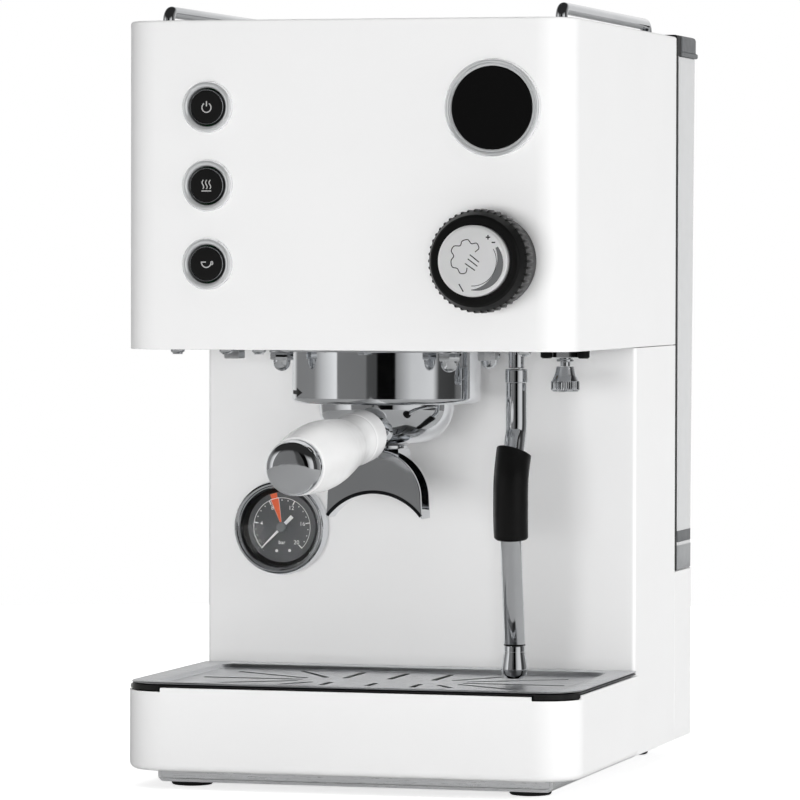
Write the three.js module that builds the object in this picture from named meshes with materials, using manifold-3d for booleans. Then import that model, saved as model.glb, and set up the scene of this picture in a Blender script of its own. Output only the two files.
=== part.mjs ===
// Home espresso machine with a single group, built as an assembly of separate pieces.
// Millimetres. X runs to the machine's right, Y to its back and Z up. While it is built, Y = 0 is
// the front face of the head; at the end the whole machine is moved so that the origin is the
// centre of its outer box on the surface that it stands on.
import * as THREE from 'three';
import { mergeVertices } from 'three/addons/utils/BufferGeometryUtils.js';
import Module from 'manifold-3d';

const wasm = await Module();
wasm.setup();

// ---------------------------------------------------------------- driving sizes: covers
const clearance = 0.3; // gap between neighbouring pieces
const sheet = 1.2; // folded steel of the covers
const bodyWidth = 230;
const headDepth = 240;
const headHeight = 163.3;
const headCornerRadius = 18;
const cupSpaceHeight = 166.4; // from the drip tray's rim up to the head
const columnInset = 144.75; // from the head's front to the column's front
const columnCornerRadius = 2;
const baseWidth = 234;
const baseHeight = 44.3;
const baseInset = 2; // how far the base's front stands behind the head's front
const baseCornerRadius = 21.7;
const rearDepth = 50; // how far the rear housing stands behind the head's back
const rearHeight = 89.8;
const rearCornerRadius = 10;
const panelSetback = 0.3; // back panel, in from the head's back edge

// ---------------------------------------------------------------- driving sizes: plinth and feet
const footRadius = 10.5;
const footHeight = 2.1;
const footStudRadius = 3;
const footStudLength = 3.2;
const footSpreadX = 87.75;
const frontFootY = 32;
const rearFootY = 250;
const plinthWidth = 204;
const plinthFrontY = 20;
const plinthBackY = 272;
const plinthHeight = 6.3;
const plinthEdgeRadius = 4;
const plinthWall = 1.5;

// ---------------------------------------------------------------- driving sizes: top
const cupPlateWidth = 172;
const cupPlateFrontY = 30;
const cupPlateBackY = 222;
const cupPlateThickness = 1;
const cupPlateLap = 7; // how far the plate runs under the edge of its opening
const cupSlotWidth = 4;
const cupSlotPitch = 16;
const cupSlotEnd = 12; // solid metal left at each end of the slots
const railRadius = 3;
const railSpreadX = 101.6;
const railFrontY = 35;
const railBackY = 226;
const railHeight = 5.9; // from the head's top to the rail's centre line
const railBend = 5;
const railLegDepth = 6; // how far a rail's leg goes down inside the head

// ---------------------------------------------------------------- driving sizes: controls
const buttonX = -70;
const buttonTopDrop = 43.1; // from the head's top down to the middle of the upper button
const buttonPitch = 38.85;
const buttonBezelRadius = 12.9;
const buttonBezelHeight = 3.2;
const buttonBoreRadius = 9.6;
const buttonCapRadius = 8.6;
const buttonCapHeight = 2.4;
const buttonTravel = 2;
const buttonBarrelRadius = 11;
const buttonBarrelLength = 14;
const buttonStemRadius = 2.5;
const controlX = 75.7; // display and steam knob share one vertical line
const displayDrop = 44.2; // from the head's top down to the middle of the display
const displayRingRadius = 24;
const displayGlassRadius = 20.3;
const displayRingHeight = 3.2;
const displayGlassHeight = 2.2;
const displayBarrelRadius = 22;
const displayBarrelLength = 9;
const knobDrop = 119; // from the head's top down to the middle of the steam knob
const knobStandOff = 1.2; // gap from the head's front to the back of the knob
const knobSkirtRadius = 22.6;
const knobBandBack = 17.5;
const knobBandFront = 29;
const knobBandRadius = 25.35;
const knobFaceDepth = 35;
const knobFaceRadius = 22;
const knobCapRadius = 17.3;
const knobCapDepth = 39.5;
const stemRadius = 4;
const stemLength = 40;
const valveRadius = 11;
const valveLength = 36;

// ---------------------------------------------------------------- driving sizes: group
const groupY = 80;
const shroudRadius = 48;
const shroudHeight = 27.7; // how far the shroud hangs below the head
const shroudWall = 1.4;
const shroudEdgeRadius = 3;
const bowlRadius = 34.4;
const bowlWall = 3;
const bowlDrop = 20.6; // how far the bowl hangs below the shroud
const bowlInsert = 11; // how far the bowl goes up into the group
const bowlEdgeRadius = 19; // rounding from the bowl's side into its bottom
const bowlFloorThickness = 4;
const bowlFloorRadius = 12;
const drainRadius = 4;
const basketWall = 0.8;
const basketDepth = 21;
const basketCorner = 3; // slope between the basket's side and its bottom
const lugReach = 6; // how far a bayonet lug stands out of the bowl
const lugWidth = 14;
const lugHeight = 3.4;
const lugBelowRim = 4; // from the bowl's rim down to the lug's foot
const gasketThickness = 3;
const gasketWidth = 5.4;
const screenThickness = 1.2;
const screenHoles = 6;
const headRoof = 12; // thickness of the group casting above the gasket
const boilerRadius = 40;
const boilerHeight = 96;
const boilerWall = 3;
const boilerPortRadius = 4;
const flangeRadius = 63;
const flangeThickness = 1.2;
const nutSpreadX = 43.5;
const nutSpreadY = 40;
const nutFlats = 10;
const nutHexHeight = 4.4;
const nutDomeRadius = 4.2;
const nutHeight = 11.2; // from the head's underside to the dome's tip

// ---------------------------------------------------------------- driving sizes: filter holder
const handleTilt = THREE.MathUtils.degToRad(5.4);
const handleRearY = 34.3;
const handleRearZ = 176.6;
const gripLength = 116;
const gripRearRadius = 13.2;
const gripWaistRadius = 12.4;
const gripBulgeRadius = 16.8;
const gripFrontRadius = 14.2;
const gripBoreRadius = 5.6;
const endCapRadius = 13.5;
const endCapLength = 11.6;
const endCapStud = 5;
const neckRadius = 7;
const neckRootWidth = 24;
const neckRootHeight = 14;
const neckTang = 22; // how far the neck's rod goes into the grip
const spoutNutFlats = 20.8;
const spoutNutLength = 11;
const spoutY = 64.8;
const spoutDepth = 17;
const spoutRadius = 24.5;
const spoutCentreZ = 144.1;
const spoutTipZ = 134.2;
const spoutArchZ = 146.9;
const spoutWall = 1.6;
const spoutFloor = 2.4;

// ---------------------------------------------------------------- driving sizes: wand and hot water
const wandX = 68;
const wandY = 80;
const wandBallRadius = 6.5;
const wandBallZ = 6.3; // ball centre above the head's underside
const wandNeckRadius = 4;
const wandNutRadius = 5.3;
const wandTubeRadius = 5.35;
const wandTubeTop = 10; // from the head's underside down to the tube's top
const wandTubeEndZ = 70.6;
const wandTipZ = 53.5;
const wandTipRadius = 6.7;
const wandTipY = -2.4; // the tip's axis, from the ball joint's
const wandGripTopZ = 170.6;
const wandGripBottomZ = 123.4;
const wandGripRadius = 9.3;
const wandHoleRadius = 9;
const bearingWall = 2.3; // room round the ball for its bearing ring
const socketRadius = 12;
const socketHeight = 15;
const waterX = 93.2;
const waterY = 80;
const waterHexFlats = 11;
const waterHexHeight = 4;
const waterNeckRadius = 2.6;
const waterNozzleTop = 8.6; // from the head's underside down to the nozzle's top
const waterNozzleHeight = 12.6;
const waterNozzleTopRadius = 4.6;
const waterNozzleRadius = 7.2;
const waterBoreRadius = 1.6;

// ---------------------------------------------------------------- driving sizes: pressure gauge
const gaugeX = -73.5;
const gaugeZ = 124.5;
const gaugeBezelRadius = 24.8;
const gaugeBezelHeight = 10;
const gaugeOpeningRadius = 20.8;
const gaugeCanRadius = 23;
const gaugeCanLength = 22;
const gaugeDialDepth = 6.5; // from the bezel's rim down to the dial
const gaugeDialThickness = 1;
const gaugeLensDepth = 2;
const gaugeLensThickness = 1.2;
const needleLength = 15;
const needleTail = 8.7;
const needleHubRadius = 2.7;
const needleShaftRadius = 0.9;
const needleRestAngle = THREE.MathUtils.degToRad(225); // pointing at zero, lower left

// ---------------------------------------------------------------- driving sizes: drip tray
const coverSteel = 0.8; // pressed steel of the drip cover
const trayLip = 1; // thickness of the basin's flange
const trayLap = 1; // the basin's flange, in from the base's outline
const coverFlange = 12; // width of the drip cover's flat rim
const coverSink = 2.5; // how far the cover's middle lies below its rim
const basinDepth = 32;
const basinWall = 2;
const basinGap = 4.2; // from the base's outline to the basin's outside
const tabDrop = 1.8; // depth of the finger tabs at the front corners
const slotWidth = 3;
const rowPitch = 23.5; // between the three short slots across the middle
const slotNear = 12; // from the tray's middle line to a short slot's near end
const slotFar = 50; // from the tray's middle line to a short slot's far end

// ---------------------------------------------------------------- driving sizes: water tank
const tankWidth = 230;
const tankFrameDepth = 5.4;
const tankTopDepth = 51;
const tankBottomDepth = 43;
const tankTopDrop = 10.1; // from the top of the head down to the tank's rim
const tankWall = 2.5;
const tankCornerRadius = 12;
const tankOutletRadius = 6;
const tankOutletBore = 3.5;
const tankOutletLength = 9;
const lidHeight = 11;
const lidLipHeight = 2.4;
const lidLipReach = 7;
const hingeBlockDepth = 5.7; // of the lid's hinge block on the tank's front edge

// ---------------------------------------------------------------- driving sizes: inside and back
const pumpRadius = 22;
const pumpLength = 92;
const pumpX = -50;
const pumpY = 190;
const pumpZ = 48;
const boardWidth = 70;
const boardHeight = 110;
const boardThickness = 1.6;
const boardDrop = 0.3; // how far the board's middle lies below the middle of the head
const inletX = -72;
const inletZ = 48;
const inletWidth = 48;
const inletHeight = 28;
const inletDepth = 18;

// ---------------------------------------------------------------- levels worked out from the sizes
const plinthZ = footHeight + clearance;
const baseZ = plinthZ + plinthHeight + clearance;
const rimZ = baseZ + baseHeight;
const headZ = rimZ + cupSpaceHeight;
const topZ = headZ + headHeight;
const buttonTopZ = topZ - buttonTopDrop;
const displayZ = topZ - displayDrop;
const knobZ = topZ - knobDrop;
const shelfZ = baseZ + rearHeight;
const shroudZ = headZ - shroudHeight;
const bowlZ = shroudZ - bowlDrop;
const bowlRimZ = shroudZ + bowlInsert;
const roofZ = bowlRimZ + clearance + gasketThickness + clearance;
const floorZ = headZ + clearance; // underside of the head's floor plate

// ---------------------------------------------------------------- finishes
function finish(color, roughness, metalness) {
  return new THREE.MeshStandardMaterial({ color, roughness, metalness });
}
const whitePaint = finish(0xf2f2f0, 0.5, 0);
const chrome = finish(0xd6d8da, 0.08, 1);
const brushedSteel = finish(0xb9bbbd, 0.3, 1);
const blackPlastic = finish(0x141414, 0.45, 0);
const blackRubber = finish(0x1b1b1b, 0.75, 0);
const smokedPlastic = finish(0xb9bcbd, 0.2, 0);
const greyPlastic = finish(0x6f7274, 0.45, 0);
const blackGlass = finish(0x060606, 0.06, 0);
const clearGlass = finish(0xe8eeee, 0.03, 0);
const whitePlastic = finish(0xededeb, 0.4, 0);
const brass = finish(0xb08d57, 0.35, 1);
const circuitBoard = finish(0x1f5a36, 0.6, 0);
const dialPrint = finish(0x2b2c2e, 0.5, 0);
const siliconeRubber = finish(0x8a2f24, 0.7, 0);

// ---------------------------------------------------------------- shaping tools
const quarterTurn = Math.PI / 2;
const largeRound = 28; // sides of a large turned piece
const mediumRound = 20;
const smallRound = 12;
const tinyRound = 8;
const cornerSteps = 4; // steps round a rectangle's corner
const weld = 1e-4;

// Joins shared corners, drops triangles with no area and turns every face outwards.
function closeGeometry(geometry) {
  const bare = geometry.clone();
  bare.deleteAttribute('normal');
  bare.deleteAttribute('uv');
  const merged = mergeVertices(bare, weld);
  const place = merged.attributes.position;
  const corners = [];
  for (let i = 0; i < merged.index.count; i += 3) {
    const [a, b, c] = [0, 1, 2].map((step) => merged.index.getX(i + step));
    if (a !== b && b !== c && c !== a) corners.push(a, b, c);
  }
  if (signedVolume(place, corners) < 0) corners.reverse();
  merged.setIndex(corners);
  return merged;
}

function signedVolume(place, corners) {
  const [a, b, c] = [new THREE.Vector3(), new THREE.Vector3(), new THREE.Vector3()];
  let volume = 0;
  for (let i = 0; i < corners.length; i += 3) {
    a.fromBufferAttribute(place, corners[i]);
    b.fromBufferAttribute(place, corners[i + 1]);
    c.fromBufferAttribute(place, corners[i + 2]);
    volume += a.dot(b.cross(c)) / 6;
  }
  return volume;
}

function toSolid(geometry) {
  const closed = closeGeometry(geometry);
  const vertProperties = Float32Array.from(closed.attributes.position.array);
  const triVerts = Uint32Array.from(closed.index.array);
  return new wasm.Manifold(new wasm.Mesh({ numProp: 3, vertProperties, triVerts }));
}

function fromSolid(solid) {
  const mesh = solid.getMesh();
  const geometry = new THREE.BufferGeometry();
  geometry.setAttribute('position', new THREE.BufferAttribute(mesh.vertProperties, 3));
  geometry.setIndex(Array.from(mesh.triVerts));
  geometry.computeVertexNormals();
  return geometry;
}

function join(...pieces) {
  return fromSolid(pieces.map(toSolid).reduce((whole, piece) => whole.add(piece)));
}

function cut(piece, ...tools) {
  return fromSolid(tools.map(toSolid).reduce((rest, tool) => rest.subtract(tool), toSolid(piece)));
}

function common(a, b) {
  return fromSolid(toSolid(a).intersect(toSolid(b)));
}

function block(x0, x1, y0, y1, z0, z1) {
  const shape = new THREE.BoxGeometry(x1 - x0, y1 - y0, z1 - z0);
  return shape.translate((x0 + x1) / 2, (y0 + y1) / 2, (z0 + z1) / 2);
}

// A round bar along Z.
function rod(radius, z0, z1, sides = smallRound) {
  const bar = new THREE.CylinderGeometry(radius, radius, z1 - z0, sides);
  return bar.rotateX(quarterTurn).translate(0, 0, (z0 + z1) / 2);
}

// The corner radius of a many-sided hole whose flats lie at the given radius.
function around(radius, sides) {
  return radius / Math.cos(Math.PI / sides);
}

// A cutting tool for a round hole along Z.
function bore(radius, z0, z1, sides = smallRound) {
  return rod(around(radius, sides), z0, z1, sides);
}

// A six-sided bar along Z, sized across its flats.
function hexBar(flats, z0, z1) {
  return rod(flats / Math.sqrt(3), z0, z1, 6);
}

// A turned piece: [radius, height] pairs spun about Z.
function turned(profile, sides = mediumRound) {
  const points = profile.map(([radius, height]) => new THREE.Vector2(radius, height));
  return new THREE.LatheGeometry(points, sides).rotateX(quarterTurn);
}

// A turned ring or tube, whose profile closes on itself.
function turnedRing(profile, sides = mediumRound) {
  return turned([...profile, profile[0]], sides);
}

// Points of an arc in a profile, from one angle to another in degrees.
function arc(centreX, centreY, radius, from, to, steps) {
  return Array.from({ length: steps + 1 }, (_, i) => {
    const angle = THREE.MathUtils.degToRad(from + ((to - from) * i) / steps);
    return [centreX + radius * Math.cos(angle), centreY + radius * Math.sin(angle)];
  });
}

// A rectangle whose low-Y and high-Y corners have their own radii.
function rectangle(x0, x1, y0, y1, lowRadius = 0, highRadius = 0) {
  const corners = [
    [x0, y0, lowRadius, 180],
    [x1, y0, lowRadius, 270],
    [x1, y1, highRadius, 0],
    [x0, y1, highRadius, 90],
  ];
  const points = corners.flatMap(([x, y, radius, angle]) => {
    if (radius <= 0) return [[x, y]];
    const centreX = x === x0 ? x + radius : x - radius;
    const centreY = y === y0 ? y + radius : y - radius;
    return arc(centreX, centreY, radius, angle, angle + 90, cornerSteps);
  });
  return new THREE.Shape(points.map(([x, y]) => new THREE.Vector2(x, y)));
}

function plate(shape, z0, z1, curveSegments = 8) {
  const options = { depth: z1 - z0, bevelEnabled: false, curveSegments };
  return new THREE.ExtrudeGeometry(shape, options).translate(0, 0, z0);
}

// Turns a piece built upwards along Z so that it faces the front, along -Y.
function facingFront(geometry) {
  return geometry.rotateX(quarterTurn);
}

const machine = new THREE.Group();

function section(name, x = 0, y = 0, z = 0) {
  const group = new THREE.Group();
  group.name = name;
  group.position.set(x, y, z);
  machine.add(group);
  return group;
}

function addPart(group, name, geometry, material, x = 0, y = 0, z = 0) {
  const mesh = new THREE.Mesh(closeGeometry(geometry), material);
  mesh.name = name;
  mesh.position.set(x, y, z);
  group.add(mesh);
  return mesh;
}

// ---------------------------------------------------------------- covers and frame
const halfWidth = bodyWidth / 2;
const buttonHeights = [0, 1, 2].map((row) => buttonTopZ - row * buttonPitch);

function headCover() {
  const outside = rectangle(-halfWidth, halfWidth, 0, headDepth, headCornerRadius);
  const inside = rectangle(
    -halfWidth + sheet, halfWidth - sheet, sheet, headDepth + sheet, headCornerRadius - sheet,
  );
  const shell = cut(plate(outside, headZ, topZ), plate(inside, headZ - sheet, topZ - sheet));
  const holeFor = (radius, x, z) =>
    facingFront(bore(radius + clearance, -2 * sheet, sheet, mediumRound)).translate(x, 0, z);
  const holes = [
    ...buttonHeights.map((z) => holeFor(buttonBarrelRadius, buttonX, z)),
    holeFor(displayBarrelRadius, controlX, displayZ),
    holeFor(stemRadius, controlX, knobZ),
  ];
  const plateHole = block(
    -cupPlateWidth / 2, cupPlateWidth / 2, cupPlateFrontY, cupPlateBackY, topZ - 2 * sheet, topZ + sheet,
  );
  const legHole = () => bore(railRadius + clearance, topZ - 2 * sheet, topZ + sheet, tinyRound);
  const legHoles = [-1, 1].flatMap((side) =>
    [railFrontY, railBackY].map((y) => legHole().translate(side * railSpreadX, y, 0)),
  );
  return cut(shell, ...holes, plateHole, ...legHoles);
}

function cupPlate() {
  const top = topZ - sheet - clearance;
  const half = cupPlateWidth / 2 + cupPlateLap;
  const front = cupPlateFrontY - cupPlateLap;
  const back = cupPlateBackY + cupPlateLap;
  const middle = (cupPlateFrontY + cupPlateBackY) / 2;
  const rows = [
    [cupPlateFrontY + cupSlotEnd, middle - cupSlotEnd / 2],
    [middle + cupSlotEnd / 2, cupPlateBackY - cupSlotEnd],
  ];
  const slots = [];
  const count = Math.floor((cupPlateWidth / 2 - cupSlotEnd) / cupSlotPitch);
  const low = top - 2 * cupPlateThickness;
  for (let column = -count; column <= count; column += 1) {
    const x = column * cupSlotPitch;
    for (const [y0, y1] of rows) {
      slots.push(block(x - cupSlotWidth / 2, x + cupSlotWidth / 2, y0, y1, low, topZ));
    }
  }
  return cut(block(-half, half, front, back, top - cupPlateThickness, top), ...slots);
}

function headFloor() {
  const half = halfWidth - sheet - clearance;
  const outline = rectangle(
    -half, half, sheet + clearance, headDepth - panelSetback - sheet - 2 * clearance,
    headCornerRadius - sheet - clearance,
  );
  const below = floorZ - sheet;
  const above = floorZ + 2 * sheet;
  const columnRoom = block(
    -half + 12, half - 12, columnInset + 12, headDepth - 12, below, above,
  );
  const holes = [
    bore(bowlRadius + lugReach + clearance, below, above, largeRound).translate(0, groupY, 0),
    bore(wandHoleRadius, below, above).translate(wandX, wandY, 0),
    bore(waterNeckRadius + clearance, below, above, tinyRound).translate(waterX, waterY, 0),
  ];
  return cut(plate(outline, floorZ, floorZ + sheet), columnRoom, ...holes);
}

function columnCover() {
  const outside = rectangle(-halfWidth, halfWidth, columnInset, headDepth, columnCornerRadius);
  const inside = rectangle(-halfWidth + sheet, halfWidth - sheet, columnInset + sheet, headDepth + sheet);
  const shell = cut(plate(outside, baseZ, headZ - clearance), plate(inside, baseZ - sheet, headZ + sheet));
  const gaugeHole = facingFront(bore(gaugeCanRadius + clearance, -3 * sheet, sheet, mediumRound));
  return cut(shell, gaugeHole.translate(gaugeX, columnInset, gaugeZ));
}

function backPanel() {
  const half = halfWidth - sheet - clearance;
  const back = headDepth - panelSetback;
  return block(-half, half, back - sheet, back, shelfZ + clearance, topZ - sheet - clearance);
}

function rearBody() {
  const front = headDepth + clearance;
  const back = headDepth + rearDepth;
  const outside = rectangle(-halfWidth, halfWidth, front, back, 0, rearCornerRadius);
  const inside = rectangle(
    -halfWidth + sheet, halfWidth - sheet, front - sheet, back - sheet, 0, rearCornerRadius - sheet,
  );
  const shell = cut(plate(outside, baseZ, shelfZ), plate(inside, baseZ - sheet, shelfZ - sheet));
  const outletHole = bore(tankOutletRadius + 2 * clearance, shelfZ - 2 * sheet, shelfZ + sheet);
  const inletHole = block(
    inletX - inletWidth / 2 + 2, inletX + inletWidth / 2 - 2, back - 2 * sheet, back + sheet,
    inletZ - inletHeight / 2 + 2, inletZ + inletHeight / 2 - 2,
  );
  return cut(shell, outletHole.translate(0, tankMiddleY(), 0), inletHole);
}

function baseCover() {
  const half = baseWidth / 2;
  const back = columnInset - clearance;
  const top = rimZ - coverSteel - clearance - trayLip - clearance;
  const outside = rectangle(-half, half, baseInset, back, baseCornerRadius);
  const inside = rectangle(
    -half + sheet, half - sheet, baseInset + sheet, back + sheet, baseCornerRadius - sheet,
  );
  const shell = cut(plate(outside, baseZ, top), plate(inside, baseZ - sheet, top + sheet));
  const notches = [-1, 1].map((side) => {
    const [x0, x1] = [side * (half - baseCornerRadius), side * (half + sheet)].sort((a, b) => a - b);
    return block(x0, x1, 0, baseInset + baseCornerRadius - 4, top - tabDrop - clearance, top + sheet);
  });
  return cut(shell, ...notches);
}

function plinth() {
  const half = plinthWidth / 2;
  const low = plinthEdgeRadius;
  const outline = rectangle(-half, half, plinthZ, plinthZ + plinthHeight, low);
  const solid = plate(outline, -plinthBackY, -plinthFrontY).rotateX(quarterTurn);
  const pocket = block(
    -half + plinthWall + low / 2, half - plinthWall - low / 2, plinthFrontY + plinthWall,
    plinthBackY - plinthWall, plinthZ + plinthWall, plinthZ + plinthHeight + plinthWall,
  );
  const studHoles = footPlaces.map(([x, y]) =>
    bore(footStudRadius + clearance, plinthZ - 1, plinthZ + 2 * plinthWall, tinyRound).translate(x, y, 0),
  );
  return cut(solid, pocket, ...studHoles);
}

const footPlaces = [-1, 1].flatMap((side) =>
  [frontFootY, rearFootY].map((y) => [side * footSpreadX, y]),
);

function foot() {
  const stud = footHeight + footStudLength;
  return turned([
    [0, 0], [footRadius - 0.8, 0], [footRadius, 0.7], [footRadius, footHeight],
    [footStudRadius, footHeight], [footStudRadius, stud], [0, stud],
  ], smallRound);
}

function cupRail(side) {
  const low = topZ - railLegDepth;
  const high = topZ + railHeight;
  const bend = (centreY, from, to) => arc(centreY, high - railBend, railBend, from, to, 3);
  const line = [
    [railFrontY, low],
    ...bend(railFrontY + railBend, 180, 90),
    ...bend(railBackY - railBend, 90, 0),
    [railBackY, low],
  ].map(([y, z]) => new THREE.Vector3(side * railSpreadX, y, z));
  return sweptRod(line, railRadius, tinyRound);
}

// A round bar through the given points, mitred at each of them.
function sweptRod(points, radius, sides) {
  const rings = points.map((point, i) => {
    const before = points[Math.max(i - 1, 0)];
    const after = points[Math.min(i + 1, points.length - 1)];
    const along = after.clone().sub(before).normalize();
    const side = new THREE.Vector3(1, 0, 0).cross(along).normalize();
    const up = along.clone().cross(side).normalize();
    return { point, side, up };
  });
  const vertices = [];
  rings.forEach(({ point, side, up }) => {
    for (let i = 0; i < sides; i += 1) {
      const angle = (2 * Math.PI * i) / sides;
      const around = side.clone().multiplyScalar(radius * Math.cos(angle));
      around.addScaledVector(up, radius * Math.sin(angle)).add(point);
      vertices.push(...around.toArray());
    }
  });
  const faces = [];
  for (let ring = 0; ring + 1 < rings.length; ring += 1) {
    for (let i = 0; i < sides; i += 1) {
      const next = (i + 1) % sides;
      const [a, b] = [ring * sides + i, ring * sides + next];
      faces.push(a, b, b + sides, a, b + sides, a + sides);
    }
  }
  const last = (rings.length - 1) * sides;
  for (let i = 1; i + 1 < sides; i += 1) faces.push(0, i + 1, i, last, last + i, last + i + 1);
  const geometry = new THREE.BufferGeometry();
  geometry.setAttribute('position', new THREE.Float32BufferAttribute(vertices, 3));
  geometry.setIndex(faces);
  return geometry;
}

const covers = section('covers');
addPart(covers, 'head_cover', headCover(), whitePaint);
addPart(covers, 'head_floor', headFloor(), brushedSteel);
addPart(covers, 'column_cover', columnCover(), whitePaint);
addPart(covers, 'back_panel', backPanel(), whitePaint);
addPart(covers, 'rear_housing', rearBody(), whitePaint);
addPart(covers, 'base_cover', baseCover(), whitePaint);
addPart(covers, 'plinth', plinth(), brushedSteel);
footPlaces.forEach(([x, y], i) => addPart(covers, `foot_${i + 1}`, foot(), blackRubber, x, y));
addPart(covers, 'cup_plate', cupPlate(), brushedSteel);
addPart(covers, 'cup_rail_left', cupRail(-1), chrome);
addPart(covers, 'cup_rail_right', cupRail(1), chrome);

// ---------------------------------------------------------------- buttons and display
// Pieces of a control are built upwards along Z, from the head's front face at zero.
function buttonBezel() {
  const boreFloor = -(buttonTravel + 4.6);
  return facingFront(turnedRing([
    [buttonStemRadius + clearance, -buttonBarrelLength],
    [buttonBarrelRadius, -buttonBarrelLength],
    [buttonBarrelRadius, clearance],
    [buttonBezelRadius, clearance],
    [buttonBezelRadius, buttonBezelHeight - 1.6],
    [buttonBezelRadius - 1, buttonBezelHeight],
    [buttonBoreRadius + 0.5, buttonBezelHeight],
    [buttonBoreRadius, buttonBezelHeight - 0.6],
    [buttonBoreRadius, boreFloor],
    [buttonStemRadius + clearance, boreFloor],
  ], smallRound));
}

function buttonCap() {
  return facingFront(turned([
    [0, -buttonBarrelLength - 2],
    [buttonStemRadius, -buttonBarrelLength - 2],
    [buttonStemRadius, -4],
    [buttonCapRadius, -4],
    [buttonCapRadius, buttonCapHeight - 0.4],
    [buttonCapRadius - 0.5, buttonCapHeight],
    [0, buttonCapHeight],
  ], smallRound));
}

const buttons = section('buttons', buttonX, 0, 0);
['power', 'steam', 'coffee'].forEach((task, row) => {
  addPart(buttons, `${task}_button_bezel`, buttonBezel(), chrome, 0, 0, buttonHeights[row]);
  addPart(buttons, `${task}_button`, buttonCap(), blackPlastic, 0, 0, buttonHeights[row]);
});

function displayRing() {
  const bore = displayGlassRadius + clearance;
  return facingFront(turnedRing([
    [bore, -displayBarrelLength],
    [displayBarrelRadius, -displayBarrelLength],
    [displayBarrelRadius, clearance],
    [displayRingRadius, clearance],
    [displayRingRadius, displayRingHeight - 1.2],
    [displayRingRadius - 1.2, displayRingHeight],
    [bore + 0.8, displayRingHeight],
    [bore, displayRingHeight - 0.8],
  ]));
}

const display = section('display', controlX, 0, displayZ);
addPart(display, 'display_ring', displayRing(), chrome);
const displayCan = rod(displayGlassRadius, -displayBarrelLength, displayGlassHeight, mediumRound);
addPart(display, 'display_glass', facingFront(displayCan), blackGlass);

function controlBoard() {
  const y = buttonBarrelLength + 4;
  const middle = (headZ + topZ) / 2 - boardDrop;
  const board = block(
    buttonX - boardWidth / 2, buttonX + boardWidth / 2, y, y + boardThickness,
    middle - boardHeight / 2, middle + boardHeight / 2,
  );
  const relay = block(buttonX - 12, buttonX + 12, y + 1, y + 16, middle - 14, middle + 10);
  return join(board, relay);
}
addPart(covers, 'control_board', controlBoard(), circuitBoard);

// ---------------------------------------------------------------- steam knob and valve
function knobGrip() {
  const bore = stemRadius + clearance;
  const seat = knobFaceDepth - 3;
  return facingFront(turnedRing([
    [bore, knobStandOff],
    [knobSkirtRadius, knobStandOff],
    [knobSkirtRadius, knobBandBack],
    [knobBandRadius, knobBandBack],
    [knobBandRadius, knobBandFront],
    [knobFaceRadius, knobFaceDepth],
    [knobCapRadius + clearance, knobFaceDepth],
    [knobCapRadius + clearance, seat],
    [bore, seat],
  ]));
}

function knobCap() {
  const seat = knobFaceDepth - 3 + clearance;
  return facingFront(turned([
    [0, seat],
    [knobCapRadius, seat],
    [knobCapRadius, knobCapDepth - 0.8],
    [knobCapRadius - 0.8, knobCapDepth],
    [0, knobCapDepth],
  ]));
}

const knob = section('steam_knob', controlX, 0, knobZ);
addPart(knob, 'steam_knob_grip', knobGrip(), blackPlastic);
addPart(knob, 'steam_knob_cap', knobCap(), chrome);
const stem = rod(stemRadius, -stemLength, knobFaceDepth - 3, tinyRound);
addPart(knob, 'steam_valve_stem', facingFront(stem), brass);

function steamValve() {
  const front = -14;
  const body = rod(valveRadius, front - valveLength, front);
  const seat = bore(stemRadius + clearance, -stemLength - clearance, front + 1, tinyRound);
  const passage = bore(stemRadius - 1.5, front - valveLength - 1, -stemLength, tinyRound);
  return facingFront(cut(body, seat, passage));
}
addPart(knob, 'steam_valve', steamValve(), brass);

// ---------------------------------------------------------------- group
// Turned pieces share the group's vertical axis.
const group = section('group', 0, groupY, 0);

function shroud() {
  const inside = around(shroudRadius - shroudWall, largeRound);
  const mouth = bowlRadius + lugReach / 3;
  const edge = arc(
    shroudRadius - shroudEdgeRadius, shroudZ + shroudEdgeRadius, shroudEdgeRadius, 0, -90, 3,
  );
  return turnedRing([
    [inside, headZ],
    [shroudRadius, headZ],
    ...edge,
    [mouth, shroudZ],
    [mouth, shroudZ + 1],
    [inside, shroudZ + 1],
  ], largeRound);
}

const grooveRadius = around(bowlRadius + lugReach + clearance, mediumRound);
const grooveZ = bowlRimZ - lugBelowRim - clearance;

function groupCasting() {
  const outside = shroudRadius - shroudWall - clearance;
  const mouth = bowlRadius + 2;
  const boss = bowlRadius;
  const bossTop = headZ + 5;
  return turnedRing([
    [drainRadius, roofZ],
    [grooveRadius, roofZ],
    [grooveRadius, grooveZ],
    [mouth, grooveZ],
    [mouth, shroudZ + 1 + clearance],
    [outside, shroudZ + 1 + clearance],
    [outside, roofZ + headRoof],
    [boss, roofZ + headRoof],
    [boss, bossTop],
    [drainRadius, bossTop],
  ]);
}

function gasket() {
  const low = bowlRimZ + clearance;
  const inner = bowlRadius + 1 - gasketWidth;
  return turnedRing([
    [inner, low], [inner + gasketWidth, low], [inner + gasketWidth, low + gasketThickness],
    [inner, low + gasketThickness],
  ]);
}

function showerScreen() {
  const radius = bowlRadius + 1 - gasketWidth - clearance;
  const low = bowlRimZ + clearance;
  const disc = rod(radius, low, low + screenThickness, mediumRound);
  const holes = [];
  for (let i = 0; i < screenHoles; i += 1) {
    const angle = (2 * Math.PI * i) / screenHoles;
    const hole = bore(1.2, low - 1, low + 4, 6);
    holes.push(hole.translate(radius * 0.66 * Math.cos(angle), radius * 0.66 * Math.sin(angle), 0));
  }
  return cut(disc, ...holes);
}

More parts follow.
